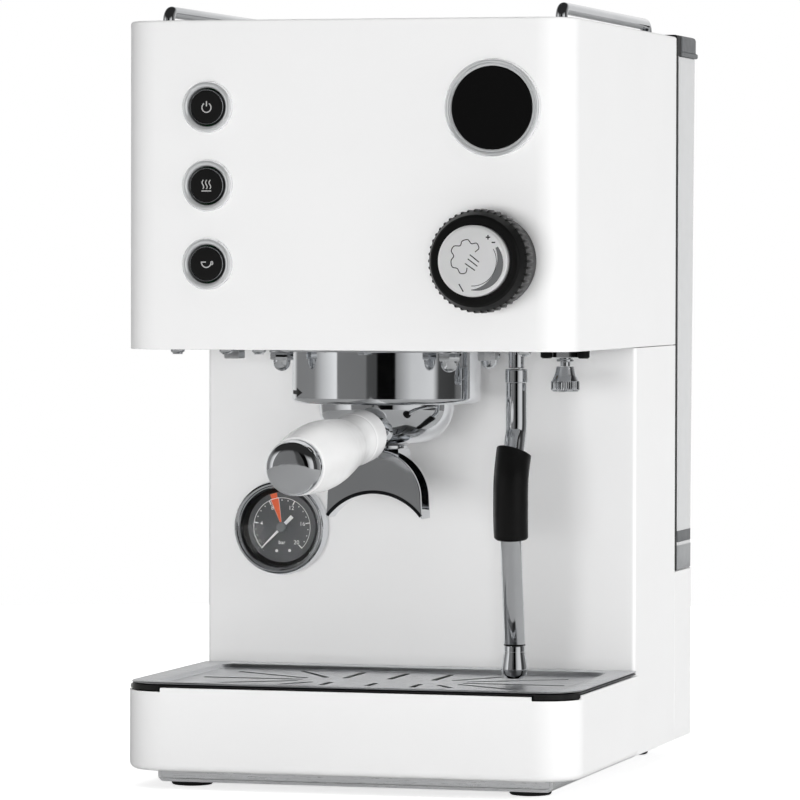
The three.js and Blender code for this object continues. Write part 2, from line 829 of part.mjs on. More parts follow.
function boiler() {
  const low = headZ + 5 + clearance;
  const top = low + boilerHeight;
  const inner = boilerRadius - boilerWall;
  return turnedRing([
    [boilerPortRadius, low],
    [boilerRadius, low],
    [boilerRadius, top - 6],
    [boilerRadius - 6, top],
    [boilerPortRadius, top],
    [boilerPortRadius, top - boilerWall],
    [inner - 5, top - boilerWall],
    [inner, top - boilerWall - 5],
    [inner, low + boilerWall],
    [boilerPortRadius, low + boilerWall],
  ], smallRound);
}

// A plate with a domed nut at each corner, under the head's floor.
function groupFlange() {
  const top = headZ;
  const ring = turnedRing([
    [shroudRadius + clearance, top - flangeThickness],
    [flangeRadius, top - flangeThickness],
    [flangeRadius, top],
    [shroudRadius + clearance, top],
  ], largeRound);
  const places = [-1, 1].flatMap((sideX) =>
    [-1, 1].map((sideY) => [sideX * nutSpreadX, sideY * nutSpreadY]),
  );
  const nuts = places.flatMap(([x, y]) => {
    const hexFoot = top - flangeThickness - nutHexHeight;
    const dome = turned([
      [0, top - nutHeight],
      ...arc(0, top - nutHeight + nutDomeRadius, nutDomeRadius, -70, 0, 3),
      [nutDomeRadius, hexFoot + 1],
      [0, hexFoot + 1],
    ], tinyRound);
    const hex = hexBar(nutFlats, hexFoot, top - flangeThickness / 2);
    return [hex, dome].map((piece) => piece.translate(x, y, 0));
  });
  return join(ring, ...nuts);
}

addPart(group, 'group_shroud', shroud(), chrome);
addPart(group, 'group_casting', groupCasting(), brass);
addPart(group, 'group_gasket', gasket(), siliconeRubber);
addPart(group, 'shower_screen', showerScreen(), brushedSteel);
addPart(group, 'boiler', boiler(), brushedSteel);
addPart(group, 'group_flange', groupFlange(), chrome);

// ---------------------------------------------------------------- filter holder
const holder = section('filter_holder', 0, groupY, 0);

function bowl() {
  const inner = bowlRadius - bowlWall;
  const floor = bowlZ + bowlFloorThickness;
  const basketLow = bowlRimZ - basketDepth - clearance;
  const cup = turnedRing([
    [drainRadius, bowlZ],
    ...arc(bowlRadius - bowlEdgeRadius, bowlZ + bowlEdgeRadius, bowlEdgeRadius, -90, 0, 6),
    [bowlRadius, bowlRimZ],
    [inner, bowlRimZ],
    [inner, basketLow + basketCorner],
    [inner - basketCorner, basketLow],
    [bowlFloorRadius, floor],
    [drainRadius, floor],
  ], largeRound);
  const foot = bowlRimZ - lugBelowRim;
  const lugs = [-1, 1].map((side) => {
    const [x0, x1] = [side * (inner + 0.5), side * (bowlRadius + lugReach)].sort((a, b) => a - b);
    return block(x0, x1, -lugWidth / 2, lugWidth / 2, foot, foot + lugHeight);
  });
  const reach = rod(bowlRadius + lugReach, foot, foot + lugHeight, largeRound);
  return join(cup, ...lugs.map((lug) => common(lug, reach)));
}

function basket() {
  const outer = bowlRadius - bowlWall - clearance;
  const low = bowlRimZ - basketDepth;
  return turnedRing([
    [1.5, low],
    [outer - basketCorner, low],
    [outer, low + basketCorner],
    [outer, bowlRimZ],
    [outer - basketWall, bowlRimZ],
    [outer - basketWall, low + basketCorner + basketWall / 2],
    [outer - basketCorner - basketWall / 2, low + basketWall],
    [1.5, low + basketWall],
  ]);
}

addPart(holder, 'filter_bowl', bowl(), chrome);
addPart(holder, 'filter_basket', basket(), brushedSteel);

// The handle is built along its own axis, which rises slightly towards the bowl.
const handle = new THREE.Group();
handle.name = 'handle';
handle.position.set(0, handleRearY - groupY, handleRearZ);
handle.rotation.x = handleTilt;
holder.add(handle);

function neck() {
  const reach = (groupY - bowlRadius - handleRearY) / Math.cos(handleTilt);
  const overlap = bowlRadius * (1 - Math.sqrt(1 - (neckRootWidth / 2 / bowlRadius) ** 2));
  const rear = -(reach + overlap + 1);
  const boss = rod(neckRadius, rear, -clearance);
  const root = new THREE.CylinderGeometry(1, 1, 1, smallRound).rotateX(quarterTurn);
  root.scale(neckRootWidth / 2, neckRootHeight / 2, -rear - 4).translate(0, 0, (rear - 4) / 2);
  const tang = rod(gripBoreRadius - clearance, -2, neckTang, tinyRound);
  return facingFront(join(boss, root, tang));
}

function grip() {
  const face = gripLength;
  const bore = gripBoreRadius;
  return facingFront(turnedRing([
    [bore, 0],
    [gripRearRadius - 1, 0],
    [gripRearRadius, 1],
    [gripRearRadius, 16],
    [gripWaistRadius + 0.4, 20],
    [gripWaistRadius, 28],
    [gripWaistRadius + 1.6, 44],
    [gripBulgeRadius - 0.8, 62],
    [gripBulgeRadius, 76],
    [gripBulgeRadius - 0.3, 90],
    [gripFrontRadius + 1, 104],
    [gripFrontRadius, face],
    [bore, face],
  ]));
}

function endCap() {
  const base = gripLength + clearance;
  const dome = arc(0, 0, 1, 0, 90, 4).map(([x, y]) => [
    endCapRadius * x, base + 2 + (endCapLength - 2 - clearance) * y,
  ]);
  return facingFront(turned([
    [0, base - endCapStud],
    [gripBoreRadius - clearance, base - endCapStud],
    [gripBoreRadius - clearance, base],
    [endCapRadius, base],
    ...dome,
  ]));
}

// The neck is trimmed by the bowl's wall, with the usual gap.
const neckPlaced = neck().rotateX(handleTilt).translate(0, handleRearY - groupY, handleRearZ);
const bowlRoom = bore(bowlRadius + clearance, bowlZ - 20, bowlRimZ + 20, largeRound);
addPart(holder, 'handle_neck', cut(neckPlaced, bowlRoom), chrome);
addPart(handle, 'handle_grip', grip(), whitePlastic);
addPart(handle, 'handle_end_cap', endCap(), chrome);

function spoutNut() {
  const top = bowlZ - clearance;
  const collar = rod(spoutNutFlats / 2 + 0.6, top - 2.6, top);
  const hex = hexBar(spoutNutFlats, top - spoutNutLength, top - 2).rotateZ(THREE.MathUtils.degToRad(15.5));
  const drain = bore(drainRadius, top - spoutNutLength - 1, top + 1, tinyRound);
  return cut(join(collar, hex), drain);
}

// Crescent-shaped trough: an open channel that falls to a lip on either side.
function spout() {
  const halfTip = spoutRadius + 0.5;
  const rise = spoutArchZ - spoutTipZ;
  const archRadius = (halfTip ** 2 + rise ** 2) / (2 * rise);
  const archAngle = THREE.MathUtils.radToDeg(Math.asin(halfTip / archRadius));
  const outline = [
    ...arc(0, spoutCentreZ, spoutRadius, 0, 180, 16),
    ...arc(0, spoutArchZ - archRadius, archRadius, 90 + archAngle, 90 - archAngle, 10),
  ];
  const shapeOf = (points) => new THREE.Shape(points.map(([x, z]) => new THREE.Vector2(x, z)));
  const body = plate(shapeOf(outline), -spoutDepth / 2, spoutDepth / 2);
  const innerArch = archRadius + spoutFloor;
  const channel = [
    ...arc(0, spoutCentreZ, spoutRadius + 4, -8, 188, 16),
    ...arc(0, spoutArchZ - archRadius, innerArch, 90 + archAngle + 4, 90 - archAngle - 4, 10),
  ];
  const width = spoutDepth / 2 - spoutWall;
  const upright = cut(body, plate(shapeOf(channel), -width, width)).rotateX(quarterTurn);
  return upright.translate(0, spoutY - groupY, 0);
}

const nutRoom = bore(spoutNutFlats / Math.sqrt(3) + clearance, bowlZ - 40, bowlZ);
addPart(holder, 'spout_nut', spoutNut(), chrome);
addPart(holder, 'spout', cut(spout(), nutRoom), chrome);

// ---------------------------------------------------------------- steam wand
const ballZ = headZ + wandBallZ;
const wand = section('steam_wand', wandX, wandY, 0);

function wandSocket() {
  const low = floorZ + sheet + clearance;
  const bore = around(wandBallRadius + bearingWall, smallRound);
  return turnedRing([
    [wandHoleRadius, low],
    [socketRadius, low],
    [socketRadius, low + socketHeight],
    [3, low + socketHeight],
    [3, low + socketHeight - 2],
    [bore, low + socketHeight - 2],
    [bore, low + 2],
    [wandHoleRadius, low + 2],
  ], smallRound);
}

function wandBearing() {
  const inner = wandBallRadius + clearance;
  const outer = wandBallRadius + bearingWall - clearance;
  const low = ballZ - 2;
  const top = ballZ + 2;
  return turnedRing([[inner, low], [outer, low], [outer, top], [inner, top]], smallRound);
}

function wandNeck() {
  const ball = new THREE.SphereGeometry(wandBallRadius, smallRound, tinyRound).rotateX(quarterTurn);
  const neckFoot = headZ - wandTubeTop;
  return join(ball.translate(0, 0, ballZ), rod(wandNeckRadius, neckFoot + clearance, ballZ));
}

const wandLine = [
  [0, headZ - wandTubeTop],
  [0, headZ - 40],
  [-3, wandGripTopZ + 2],
  [-9.4, wandGripTopZ - 16],
  [-10, wandGripBottomZ + 10],
  [-10, wandGripBottomZ - 4],
  [wandTipY, wandTubeEndZ + 3],
  [wandTipY, wandTubeEndZ],
].map(([y, z]) => new THREE.Vector3(0, y, z));

function wandTube() {
  const nut = rod(wandNutRadius + 0.2, headZ - wandTubeTop - 7.2, headZ - wandTubeTop);
  return join(sweptRod(wandLine, wandTubeRadius, 12), nut);
}

function wandGrip() {
  const line = wandLine.slice(2, 6);
  const [first, last] = [line[0].clone(), line[3].clone()];
  first.z = wandGripTopZ;
  last.z = wandGripBottomZ;
  const sleeve = sweptRod([first, line[1], line[2], last], wandGripRadius, 14);
  const room = sweptRod(wandLine, wandTubeRadius + clearance, 12);
  return cut(sleeve, room);
}

function wandTip() {
  const top = wandTubeEndZ - clearance;
  const low = wandTipZ;
  return turned([
    [0, low],
    [4.4, low],
    [wandTipRadius - 0.7, low + 1.6],
    [wandTipRadius, low + 4.4],
    [wandTipRadius - 0.5, low + 8],
    [wandTubeRadius, low + 13.5],
    [wandTubeRadius, top],
    [0, top],
  ], smallRound).translate(0, wandTipY, 0);
}

addPart(wand, 'wand_socket', wandSocket(), brass);
addPart(wand, 'wand_bearing', wandBearing(), whitePlastic);
addPart(wand, 'wand_neck', wandNeck(), chrome);
addPart(wand, 'wand_tube', wandTube(), chrome);
addPart(wand, 'wand_grip', wandGrip(), blackRubber);
addPart(wand, 'wand_tip', wandTip(), chrome);

// ---------------------------------------------------------------- hot water outlet
const water = section('hot_water', waterX, waterY, 0);

function waterNozzle() {
  const top = headZ - waterNozzleTop;
  const low = top - waterNozzleHeight;
  return turnedRing([
    [waterBoreRadius, low + 1.5],
    [waterNozzleRadius - 1.6, low],
    [waterNozzleRadius, low],
    [waterNozzleRadius, low + 5.5],
    [waterNozzleTopRadius + 0.4, low + 8.5],
    [waterNozzleTopRadius, top],
    [waterBoreRadius, top],
  ], smallRound);
}

function waterFitting() {
  const hexTop = headZ;
  const pipe = rod(waterNeckRadius, headZ - waterNozzleTop + clearance, headZ + 20, tinyRound);
  const hex = hexBar(waterHexFlats, hexTop - waterHexHeight, hexTop);
  const passage = bore(waterBoreRadius, headZ - waterNozzleTop - 1, headZ + 21, tinyRound);
  return cut(join(pipe, hex), passage);
}

addPart(water, 'hot_water_fitting', waterFitting(), chrome);
addPart(water, 'hot_water_nozzle', waterNozzle(), chrome);

// ---------------------------------------------------------------- pressure gauge
const gauge = section('pressure_gauge', gaugeX, columnInset, gaugeZ);
const dialTop = gaugeBezelHeight - gaugeDialDepth;
const dialFoot = dialTop - gaugeDialThickness;
const lensTop = gaugeBezelHeight - gaugeLensDepth;

function gaugeCase() {
  return facingFront(turned([
    [0, -gaugeCanLength],
    [gaugeCanRadius, -gaugeCanLength],
    [gaugeCanRadius, clearance],
    [gaugeBezelRadius, clearance],
    [gaugeBezelRadius, gaugeBezelHeight - 2.5],
    [gaugeBezelRadius - 1.2, gaugeBezelHeight - 0.4],
    [gaugeBezelRadius - 2.4, gaugeBezelHeight],
    [gaugeOpeningRadius, gaugeBezelHeight - 1.6],
    [gaugeOpeningRadius, dialFoot - 3],
    [0, dialFoot - 3],
  ]));
}

function gaugeNeedle() {
  const shape = new THREE.Shape([
    [-needleTail, -1.5],
    [-needleTail, 1.5],
    [0, 0.9],
    [needleLength, 0.25],
    [needleLength, -0.25],
    [0, -0.9],
  ].map(([x, y]) => new THREE.Vector2(x, y)));
  const low = dialTop + clearance;
  const blade = plate(shape, low, low + 0.8).rotateZ(needleRestAngle);
  const hub = rod(needleHubRadius, low, low + 2, tinyRound);
  const shaft = rod(needleShaftRadius, dialFoot - 2.4, low + 0.5, tinyRound);
  return facingFront(join(blade, hub, shaft));
}

const dial = cut(
  rod(gaugeOpeningRadius - clearance, dialFoot, dialTop, mediumRound),
  bore(needleShaftRadius + clearance, dialFoot - 1, dialTop + 1, tinyRound),
);
const lens = rod(gaugeOpeningRadius - clearance, lensTop - gaugeLensThickness, lensTop, mediumRound);
addPart(gauge, 'gauge_case', gaugeCase(), chrome);
addPart(gauge, 'gauge_dial', facingFront(dial), dialPrint);
addPart(gauge, 'gauge_needle', gaugeNeedle(), whitePlastic);
addPart(gauge, 'gauge_lens', facingFront(lens), clearGlass);

// ---------------------------------------------------------------- drip tray
const tray = section('drip_tray');
const trayHalf = baseWidth / 2 - trayLap;
const trayFront = baseInset + trayLap;
const trayBack = columnInset - 2 * clearance;
const lipTop = rimZ - coverSteel - clearance;

function basin() {
  const outline = rectangle(
    -trayHalf, trayHalf, trayFront, trayBack, baseCornerRadius - trayLap,
  );
  const lip = plate(outline, lipTop - trayLip, lipTop);
  const half = baseWidth / 2 - basinGap;
  const [front, back] = [baseInset + basinGap, trayBack - basinGap];
  const low = lipTop - basinDepth;
  const bodyOutline = rectangle(-half, half, front, back, baseCornerRadius - basinGap, 6);
  const body = plate(bodyOutline, low, lipTop - trayLip / 2);
  const hollow = rectangle(
    -half + basinWall, half - basinWall, front + basinWall, back - basinWall,
    baseCornerRadius - basinGap - basinWall, 4,
  );
  const tabs = [-1, 1].map((side) => {
    const reach = baseWidth / 2 - baseCornerRadius + 1;
    const [x0, x1] = [side * reach, side * (baseWidth / 2)].sort((a, b) => a - b);
    const back = baseInset + baseCornerRadius - 5;
    return block(x0, x1, baseInset, back, lipTop - trayLip - tabDrop, lipTop - 0.2);
  });
  const trimmedTabs = tabs.map((tab) => common(tab, plate(outline, 0, rimZ)));
  return cut(join(lip, body, ...trimmedTabs), plate(hollow, low + basinWall, rimZ + 1));
}

function dripSlots(z0, z1) {
  const middle = (trayFront + trayBack) / 2;
  const runs = [];
  for (const sideY of [-1, 1]) {
    for (const column of [-1, 0, 1]) {
      runs.push([column * rowPitch, sideY * slotNear, column * rowPitch, sideY * slotFar]);
    }
    for (const sideX of [-1, 1]) {
      runs.push([sideX * 33, sideY * 14, sideX * 57, sideY * slotFar]);
      runs.push([sideX * 42, sideY * 8, sideX * 88, sideY * 38]);
    }
  }
  for (const sideX of [-1, 1]) runs.push([sideX * 42, 0, sideX * 95, 0]);
  return runs.map(([x0, y0, x1, y1]) => {
    const length = Math.hypot(x1 - x0, y1 - y0);
    const slot = block(-length / 2, length / 2, -slotWidth / 2, slotWidth / 2, z0, z1);
    slot.rotateZ(Math.atan2(y1 - y0, x1 - x0));
    return slot.translate((x0 + x1) / 2, middle + (y0 + y1) / 2, 0);
  });
}

function dripCover() {
  const outline = rectangle(-trayHalf, trayHalf, trayFront, trayBack, baseCornerRadius - trayLap);
  const ledge = (inset) => rectangle(
    -trayHalf + inset, trayHalf - inset, trayFront + inset, trayBack - inset, 10, 6,
  );
  const rim = plate(outline, rimZ - coverSteel, rimZ);
  const pan = plate(ledge(coverFlange - coverSteel), rimZ - coverSink - coverSteel, rimZ - coverSteel / 2);
  const pocket = plate(ledge(coverFlange), rimZ - coverSink, rimZ + 1);
  return cut(join(rim, pan), pocket, ...dripSlots(rimZ - coverSink - 2, rimZ));
}

addPart(tray, 'drip_basin', basin(), blackPlastic);
addPart(tray, 'drip_cover', dripCover(), brushedSteel);

// ---------------------------------------------------------------- water tank
const tank = section('water_tank');

function tankFrontY() {
  return headDepth + clearance + tankFrameDepth + clearance;
}

function tankMiddleY() {
  return tankFrontY() + tankBottomDepth / 2;
}

const tankZ = shelfZ + clearance;
const tankTopZ = topZ - tankTopDrop;
const tankHeight = tankTopZ - tankZ;

// Narrows a box-like shape from front to back, from its full depth at the top of the tank.
function narrowed(geometry) {
  const place = geometry.attributes.position;
  const front = tankFrontY();
  for (let i = 0; i < place.count; i += 1) {
    const down = (tankTopZ - place.getZ(i)) / tankHeight;
    const depth = tankTopDepth + (tankBottomDepth - tankTopDepth) * down;
    place.setY(i, front + ((place.getY(i) - front) * depth) / tankTopDepth);
  }
  return geometry;
}

function tankBody() {
  const half = tankWidth / 2;
  const front = tankFrontY();
  const back = front + tankTopDepth;
  const outline = rectangle(-half, half, front, back, 0, tankCornerRadius);
  const outside = narrowed(plate(outline, tankZ, tankTopZ));
  const inside = narrowed(plate(
    rectangle(
      -half + tankWall, half - tankWall, front + tankWall, back - tankWall, 0, tankCornerRadius - tankWall,
    ),
    tankZ + tankWall, tankTopZ + 1,
  ));
  const outletFoot = tankZ - tankOutletLength;
  const outlet = rod(tankOutletRadius, outletFoot, tankZ + 1, tinyRound);
  const passage = bore(tankOutletBore, outletFoot - 1, tankZ + 2 * tankWall, tinyRound);
  const middle = tankMiddleY();
  return cut(join(outside, outlet.translate(0, middle, 0)), inside, passage.translate(0, middle, 0));
}

function hingeBlock() {
  const half = halfWidth;
  const [front, low] = [headDepth + clearance, tankTopZ + clearance];
  return block(-half, half, front, tankFrontY() + hingeBlockDepth, low, low + lidHeight);
}

function tankLid() {
  const half = tankWidth / 2 + 0.5;
  const front = tankFrontY() + hingeBlockDepth + clearance;
  const back = tankFrontY() + tankTopDepth;
  const low = tankTopZ + clearance;
  const cap = plate(rectangle(-half, half, front, back, 0, tankCornerRadius), low, low + lidHeight);
  const lip = plate(
    rectangle(-half, half, front, back + lidLipReach, 0, tankCornerRadius + 2), low, low + lidLipHeight,
  );
  return join(cap, lip);
}

function tankFrame() {
  const front = headDepth + clearance;
  const half = halfWidth;
  return block(-half, half, front, front + tankFrameDepth, shelfZ + clearance, tankTopZ);
}

addPart(tank, 'tank_backrest', tankFrame(), blackPlastic);
addPart(tank, 'water_tank', tankBody(), smokedPlastic);
addPart(tank, 'tank_lid_hinge', hingeBlock(), blackPlastic);
addPart(tank, 'tank_lid', tankLid(), greyPlastic);

// ---------------------------------------------------------------- inside and back
const inside = section('inside');

function pump() {
  const coil = rod(pumpRadius, -pumpLength / 2, pumpLength / 2);
  const passage = bore(3, -pumpLength / 2 - 20, pumpLength / 2 + 20, tinyRound);
  const spigot = rod(6, -pumpLength / 2 - 12, pumpLength / 2 + 12, tinyRound);
  return cut(join(coil, spigot), passage).rotateY(quarterTurn);
}

function inlet() {
  const back = headDepth + rearDepth;
  const [halfX, halfZ] = [inletWidth / 2, inletHeight / 2];
  const face = block(-halfX, halfX, back + clearance, back + clearance + 2, -halfZ, halfZ);
  const wall = 2 + clearance;
  const can = block(-halfX + wall, halfX - wall, back - inletDepth, back + 1, -halfZ + wall, halfZ - wall);
  const socket = block(
    -halfX + wall + 2.5, halfX - wall - 2.5, back - inletDepth + 2, back + 5,
    -halfZ + wall + 2.5, halfZ - wall - 2.5,
  );
  const pins = [[-7, -2], [0, 4], [7, -2]].map(([x, z]) =>
    block(x - 1, x + 1, back - inletDepth + 1, back - 3, z - 2, z + 2),
  );
  return join(cut(join(face, can), socket), ...pins);
}

addPart(inside, 'pump', pump(), blackPlastic, pumpX, pumpY, pumpZ);
addPart(inside, 'power_inlet', inlet(), blackPlastic, inletX, 0, inletZ);

// ---------------------------------------------------------------- origin
machine.updateMatrixWorld(true);
const outerBox = new THREE.Box3().setFromObject(machine, true);
const centre = outerBox.getCenter(new THREE.Vector3());
machine.position.set(0, -centre.y, -outerBox.min.z);
machine.updateMatrixWorld(true);

export default machine;
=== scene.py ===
# Home espresso machine: white powder-coated covers, chrome group and steam wand, rear water tank.
# Shapes are worked out in millimetres from the boxes of the machine's frame, and made in metres.
import math

import bmesh
import bpy
from mathutils import Matrix, Vector


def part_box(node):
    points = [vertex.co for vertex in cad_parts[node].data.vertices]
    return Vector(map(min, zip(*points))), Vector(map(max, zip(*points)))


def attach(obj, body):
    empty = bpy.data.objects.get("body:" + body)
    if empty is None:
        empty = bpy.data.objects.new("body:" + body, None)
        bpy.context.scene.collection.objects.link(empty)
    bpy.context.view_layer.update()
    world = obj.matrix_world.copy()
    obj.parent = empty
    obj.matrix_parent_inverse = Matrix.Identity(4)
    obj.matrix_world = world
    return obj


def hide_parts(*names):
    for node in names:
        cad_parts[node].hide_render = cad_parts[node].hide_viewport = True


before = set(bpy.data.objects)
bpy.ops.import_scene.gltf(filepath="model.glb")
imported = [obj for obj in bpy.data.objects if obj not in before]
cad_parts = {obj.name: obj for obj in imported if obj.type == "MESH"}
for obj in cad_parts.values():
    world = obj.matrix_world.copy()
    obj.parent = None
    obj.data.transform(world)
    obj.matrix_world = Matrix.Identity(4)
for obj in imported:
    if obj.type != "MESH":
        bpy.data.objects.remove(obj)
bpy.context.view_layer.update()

MM = 0.001
TURN = 2 * math.pi
# Turns a shape that was built upwards along Z so that it faces the front, along -Y.
TO_FRONT = Matrix.Rotation(math.radians(90), 4, "X")


def span(*nodes):
    """Lowest and highest corner of one or more frame nodes, in millimetres."""
    boxes = [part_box(node) for node in nodes]
    low = Vector([min(box[0][axis] for box in boxes) for axis in range(3)]) / MM
    high = Vector([max(box[1][axis] for box in boxes) for axis in range(3)]) / MM
    return low, high


def middle(*nodes):
    low, high = span(*nodes)
    return (low + high) / 2


# ------------------------------------------------------------------ shaping tools
class Form:
    """The points, in millimetres, and the faces of one piece."""

    def __init__(self, points=(), faces=()):
        self.points = [Vector(point) for point in points]
        self.faces = [list(face) for face in faces]

    def plus(self, other):
        start = len(self.points)
        self.points += other.points
        self.faces += [[start + corner for corner in face] for face in other.faces]
        return self

    def moved(self, x=0, y=0, z=0):
        return self.turned(Matrix.Translation((x, y, z)))

    def turned(self, matrix):
        self.points = [matrix @ point for point in self.points]
        return self


def loft(rings, looped=False, capped=True):
    """Joins rings of equally many points; looped also joins the last ring to the first."""
    size = len(rings[0])
    points = [point for ring in rings for point in ring]
    faces = []
    for row in range(len(rings) if looped else len(rings) - 1):
        here, there = row * size, (row + 1) % len(rings) * size
        for side in range(size):
            after = (side + 1) % size
            faces.append([here + side, here + after, there + after, there + side])
    if capped and not looped:
        faces.append(list(range(size))[::-1])
        faces.append([len(points) - size + side for side in range(size)])
    return Form(points, faces)


def arc(centre_x, centre_y, radius, start, end, steps, tall=None):
    """Points of an arc, between two angles in degrees; an oval has tall as its other radius."""
    angles = [math.radians(start + (end - start) * step / steps) for step in range(steps + 1)]
    return [(centre_x + radius * math.cos(a), centre_y + (tall or radius) * math.sin(a)) for a in angles]


def level(outline, z):
    """A flat outline lifted to a height."""
    return [(x, y, z) for x, y in outline]


def eased(corners, looped=False, steps=4):
    """Rounds a line's corners; a corner is (a, b) or, with its radius, (a, b, radius)."""
    line = []
    for number, corner in enumerate(corners):
        here = Vector(corner[:2])
        inner = looped or 0 < number < len(corners) - 1
        if len(corner) == 2 or not inner:
            line.append(tuple(here))
            continue
        before = Vector(corners[number - 1][:2]) - here
        after = Vector(corners[(number + 1) % len(corners)][:2]) - here
        half = before.angle(after) / 2
        reach = min(corner[2] / math.tan(half), 0.49 * before.length, 0.49 * after.length)
        radius = reach * math.tan(half)
        centre = here + (before.normalized() + after.normalized()).normalized() * radius / math.sin(half)
        start = here + before.normalized() * reach - centre
        turn = start.angle_signed(here + after.normalized() * reach - centre)
        for step in range(steps + 1):
            angle = -turn * step / steps
            spun = Vector((
                start.x * math.cos(angle) - start.y * math.sin(angle),
                start.x * math.sin(angle) + start.y * math.cos(angle),
            ))
            line.append(tuple(centre + spun))
    return line


def lathe(corners, sides=72, looped=False, steps=4):
    """Spins a line of (radius, height) corners about Z."""
    rings = [
        [(r * math.cos(TURN * i / sides), r * math.sin(TURN * i / sides), h) for i in range(sides)]
        for r, h in eased(corners, looped, steps)
    ]
    return loft(rings, looped, capped=not looped)


def rounded_rectangle(x0, x1, y0, y1, front, back, steps=12):
    """Outline of a rectangle; its low-Y corners have one radius and its high-Y corners another."""
    return (
        arc(x0 + front, y0 + front, front, 180, 270, steps)
        + arc(x1 - front, y0 + front, front, 270, 360, steps)
        + arc(x1 - back, y1 - back, back, 0, 90, steps)
        + arc(x0 + back, y1 - back, back, 90, 180, steps)
    )


def rounded_box(low, high, front=0.5, back=0.5, foot=0.3, top=0.3, steps=12):
    """A box with its own radii at the upright corners, round the foot and round the top."""
    quarter = [math.radians(15 * step) for step in range(7)]
    levels = [(foot * (1 - math.sin(a)), low[2] + foot * (1 - math.cos(a))) for a in quarter]
    levels += [(top * (1 - math.cos(a)), high[2] - top + top * math.sin(a)) for a in quarter]
    rings = []
    for inset, z in levels:
        rings.append(level(rounded_rectangle(
            low[0] + inset, high[0] - inset, low[1] + inset, high[1] - inset,
            max(front - inset, 0.05), max(back - inset, 0.05), steps,
        ), z))
    return loft(rings)


def offset(outline, distance):
    """Moves a closed outline outwards by a distance, or inwards if it is negative."""
    area = sum(x0 * y1 - x1 * y0 for (x0, y0), (x1, y1) in zip(outline, outline[1:] + outline[:1]))
    side = 1 if area > 0 else -1
    moved = []
    for number, here in enumerate(outline):
        before = Vector(outline[number - 1])
        after = Vector(outline[(number + 1) % len(outline)])
        first = (Vector(here) - before).normalized()
        second = (after - Vector(here)).normalized()
        normal = Vector((first.y + second.y, -first.x - second.x)) * side
        stretch = max(normal.length_squared / 2, 0.3)
        moved.append(tuple(Vector(here) + normal * distance / stretch))
    return moved


def prism(outline, z0, z1, edge=0.2):
    """A straight bar of any outline, with a small rounded edge at both ends."""
    levels = [(-edge, z0), (-0.3 * edge, z0 + 0.3 * edge), (0, z0 + edge),
              (0, z1 - edge), (-0.3 * edge, z1 - 0.3 * edge), (-edge, z1)]
    return loft([level(offset(outline, inset), z) for inset, z in levels])


def hexagon(flats):
    return arc(0, 0, flats / math.sqrt(3), 0, 300, 5)


def smooth_line(points, steps=8):
    """A smooth line through the given points."""
    points = [Vector(point) for point in points]
    ends = [2 * points[0] - points[1], *points, 2 * points[-1] - points[-2]]
    line = []
    for a, b, c, d in zip(ends, ends[1:], ends[2:], ends[3:]):
        for step in range(steps):
            t = step / steps
            line.append(0.5 * (
                2 * b + (c - a) * t + (2 * a - 5 * b + 4 * c - d) * t ** 2
                + (3 * b - a - 3 * c + d) * t ** 3
            ))
    return line + [points[-1]]


def sweep(line, radius, sides=24, section=None):
    """A bar along a line; section(angle, share of the length) scales the radius."""
    line = [Vector(point) for point in line]
    forward = [(b - a).normalized() for a, b in zip(line, line[1:])]
    forward = [forward[0], *[(a + b).normalized() for a, b in zip(forward, forward[1:])], forward[-1]]
    across = Vector((1, 0, 0)) if abs(forward[0].x) < 0.9 else Vector((0, 1, 0))
    rings = []
    for number, (point, ahead) in enumerate(zip(line, forward)):
        across = (across - ahead * across.dot(ahead)).normalized()
        up = ahead.cross(across)
        share = number / (len(line) - 1)
        ring = []
        for side in range(sides):
            angle = TURN * side / sides
            size = (radius(share) if callable(radius) else radius) * (section(angle, share) if section else 1)
            ring.append(point + across * size * math.cos(angle) + up * size * math.sin(angle))
        rings.append(ring)
    return loft(rings)


def ribbon(line, width, height):
    """A flat strip along a line in the XY plane; width may depend on the share of the length."""
    points = [Vector(point) for point in line]
    last = len(points) - 1
    left, right = [], []
    for number, here in enumerate(points):
        ahead = (points[min(number + 1, last)] - points[max(number - 1, 0)]).normalized()
        side = Vector((-ahead.y, ahead.x)) * (width(number / last) if callable(width) else width) / 2
        left.append(here + side)
        right.append(here - side)
    return loft([[(*a, 0), (*b, 0), (*b, height), (*a, height)] for a, b in zip(left, right)])


# ------------------------------------------------------------------ from forms to pieces
def placed(name, data):
    """A new object in the scene."""
    made = bpy.data.objects.new(name, data)
    bpy.context.collection.objects.link(made)
    return made


def to_object(name, form):
    mesh = bpy.data.meshes.new(name)
    mesh.from_pydata([point * MM for point in form.points], [], form.faces)
    tidy(mesh)
    return placed(name, mesh)


def tidy(mesh, weld=0.002 * MM):
    """Welds doubled points, drops faces with no area and turns the faces outwards."""
    shell = bmesh.new()
    shell.from_mesh(mesh)
    bmesh.ops.remove_doubles(shell, verts=shell.verts, dist=weld)
    bmesh.ops.dissolve_degenerate(shell, edges=shell.edges, dist=weld)
    bmesh.ops.recalc_face_normals(shell, faces=shell.faces)
    shell.to_mesh(mesh)
    shell.free()


def baked(shape):
    """Gives the shape its own plain mesh with its modifiers applied."""
    graph = bpy.context.evaluated_depsgraph_get()
    mesh = bpy.data.meshes.new_from_object(shape.evaluated_get(graph))
    shape.modifiers.clear()
    shape.data = mesh
    return shape


def carve(shape, *tools):
    """Cuts closed forms out of a shape."""
    for tool in tools:
        cutter = to_object("cutter", tool)
        modifier = shape.modifiers.new("cut", "BOOLEAN")
        modifier.operation, modifier.solver, modifier.object = "DIFFERENCE", "EXACT", cutter
        baked(shape)
        bpy.data.objects.remove(cutter)
    return shape


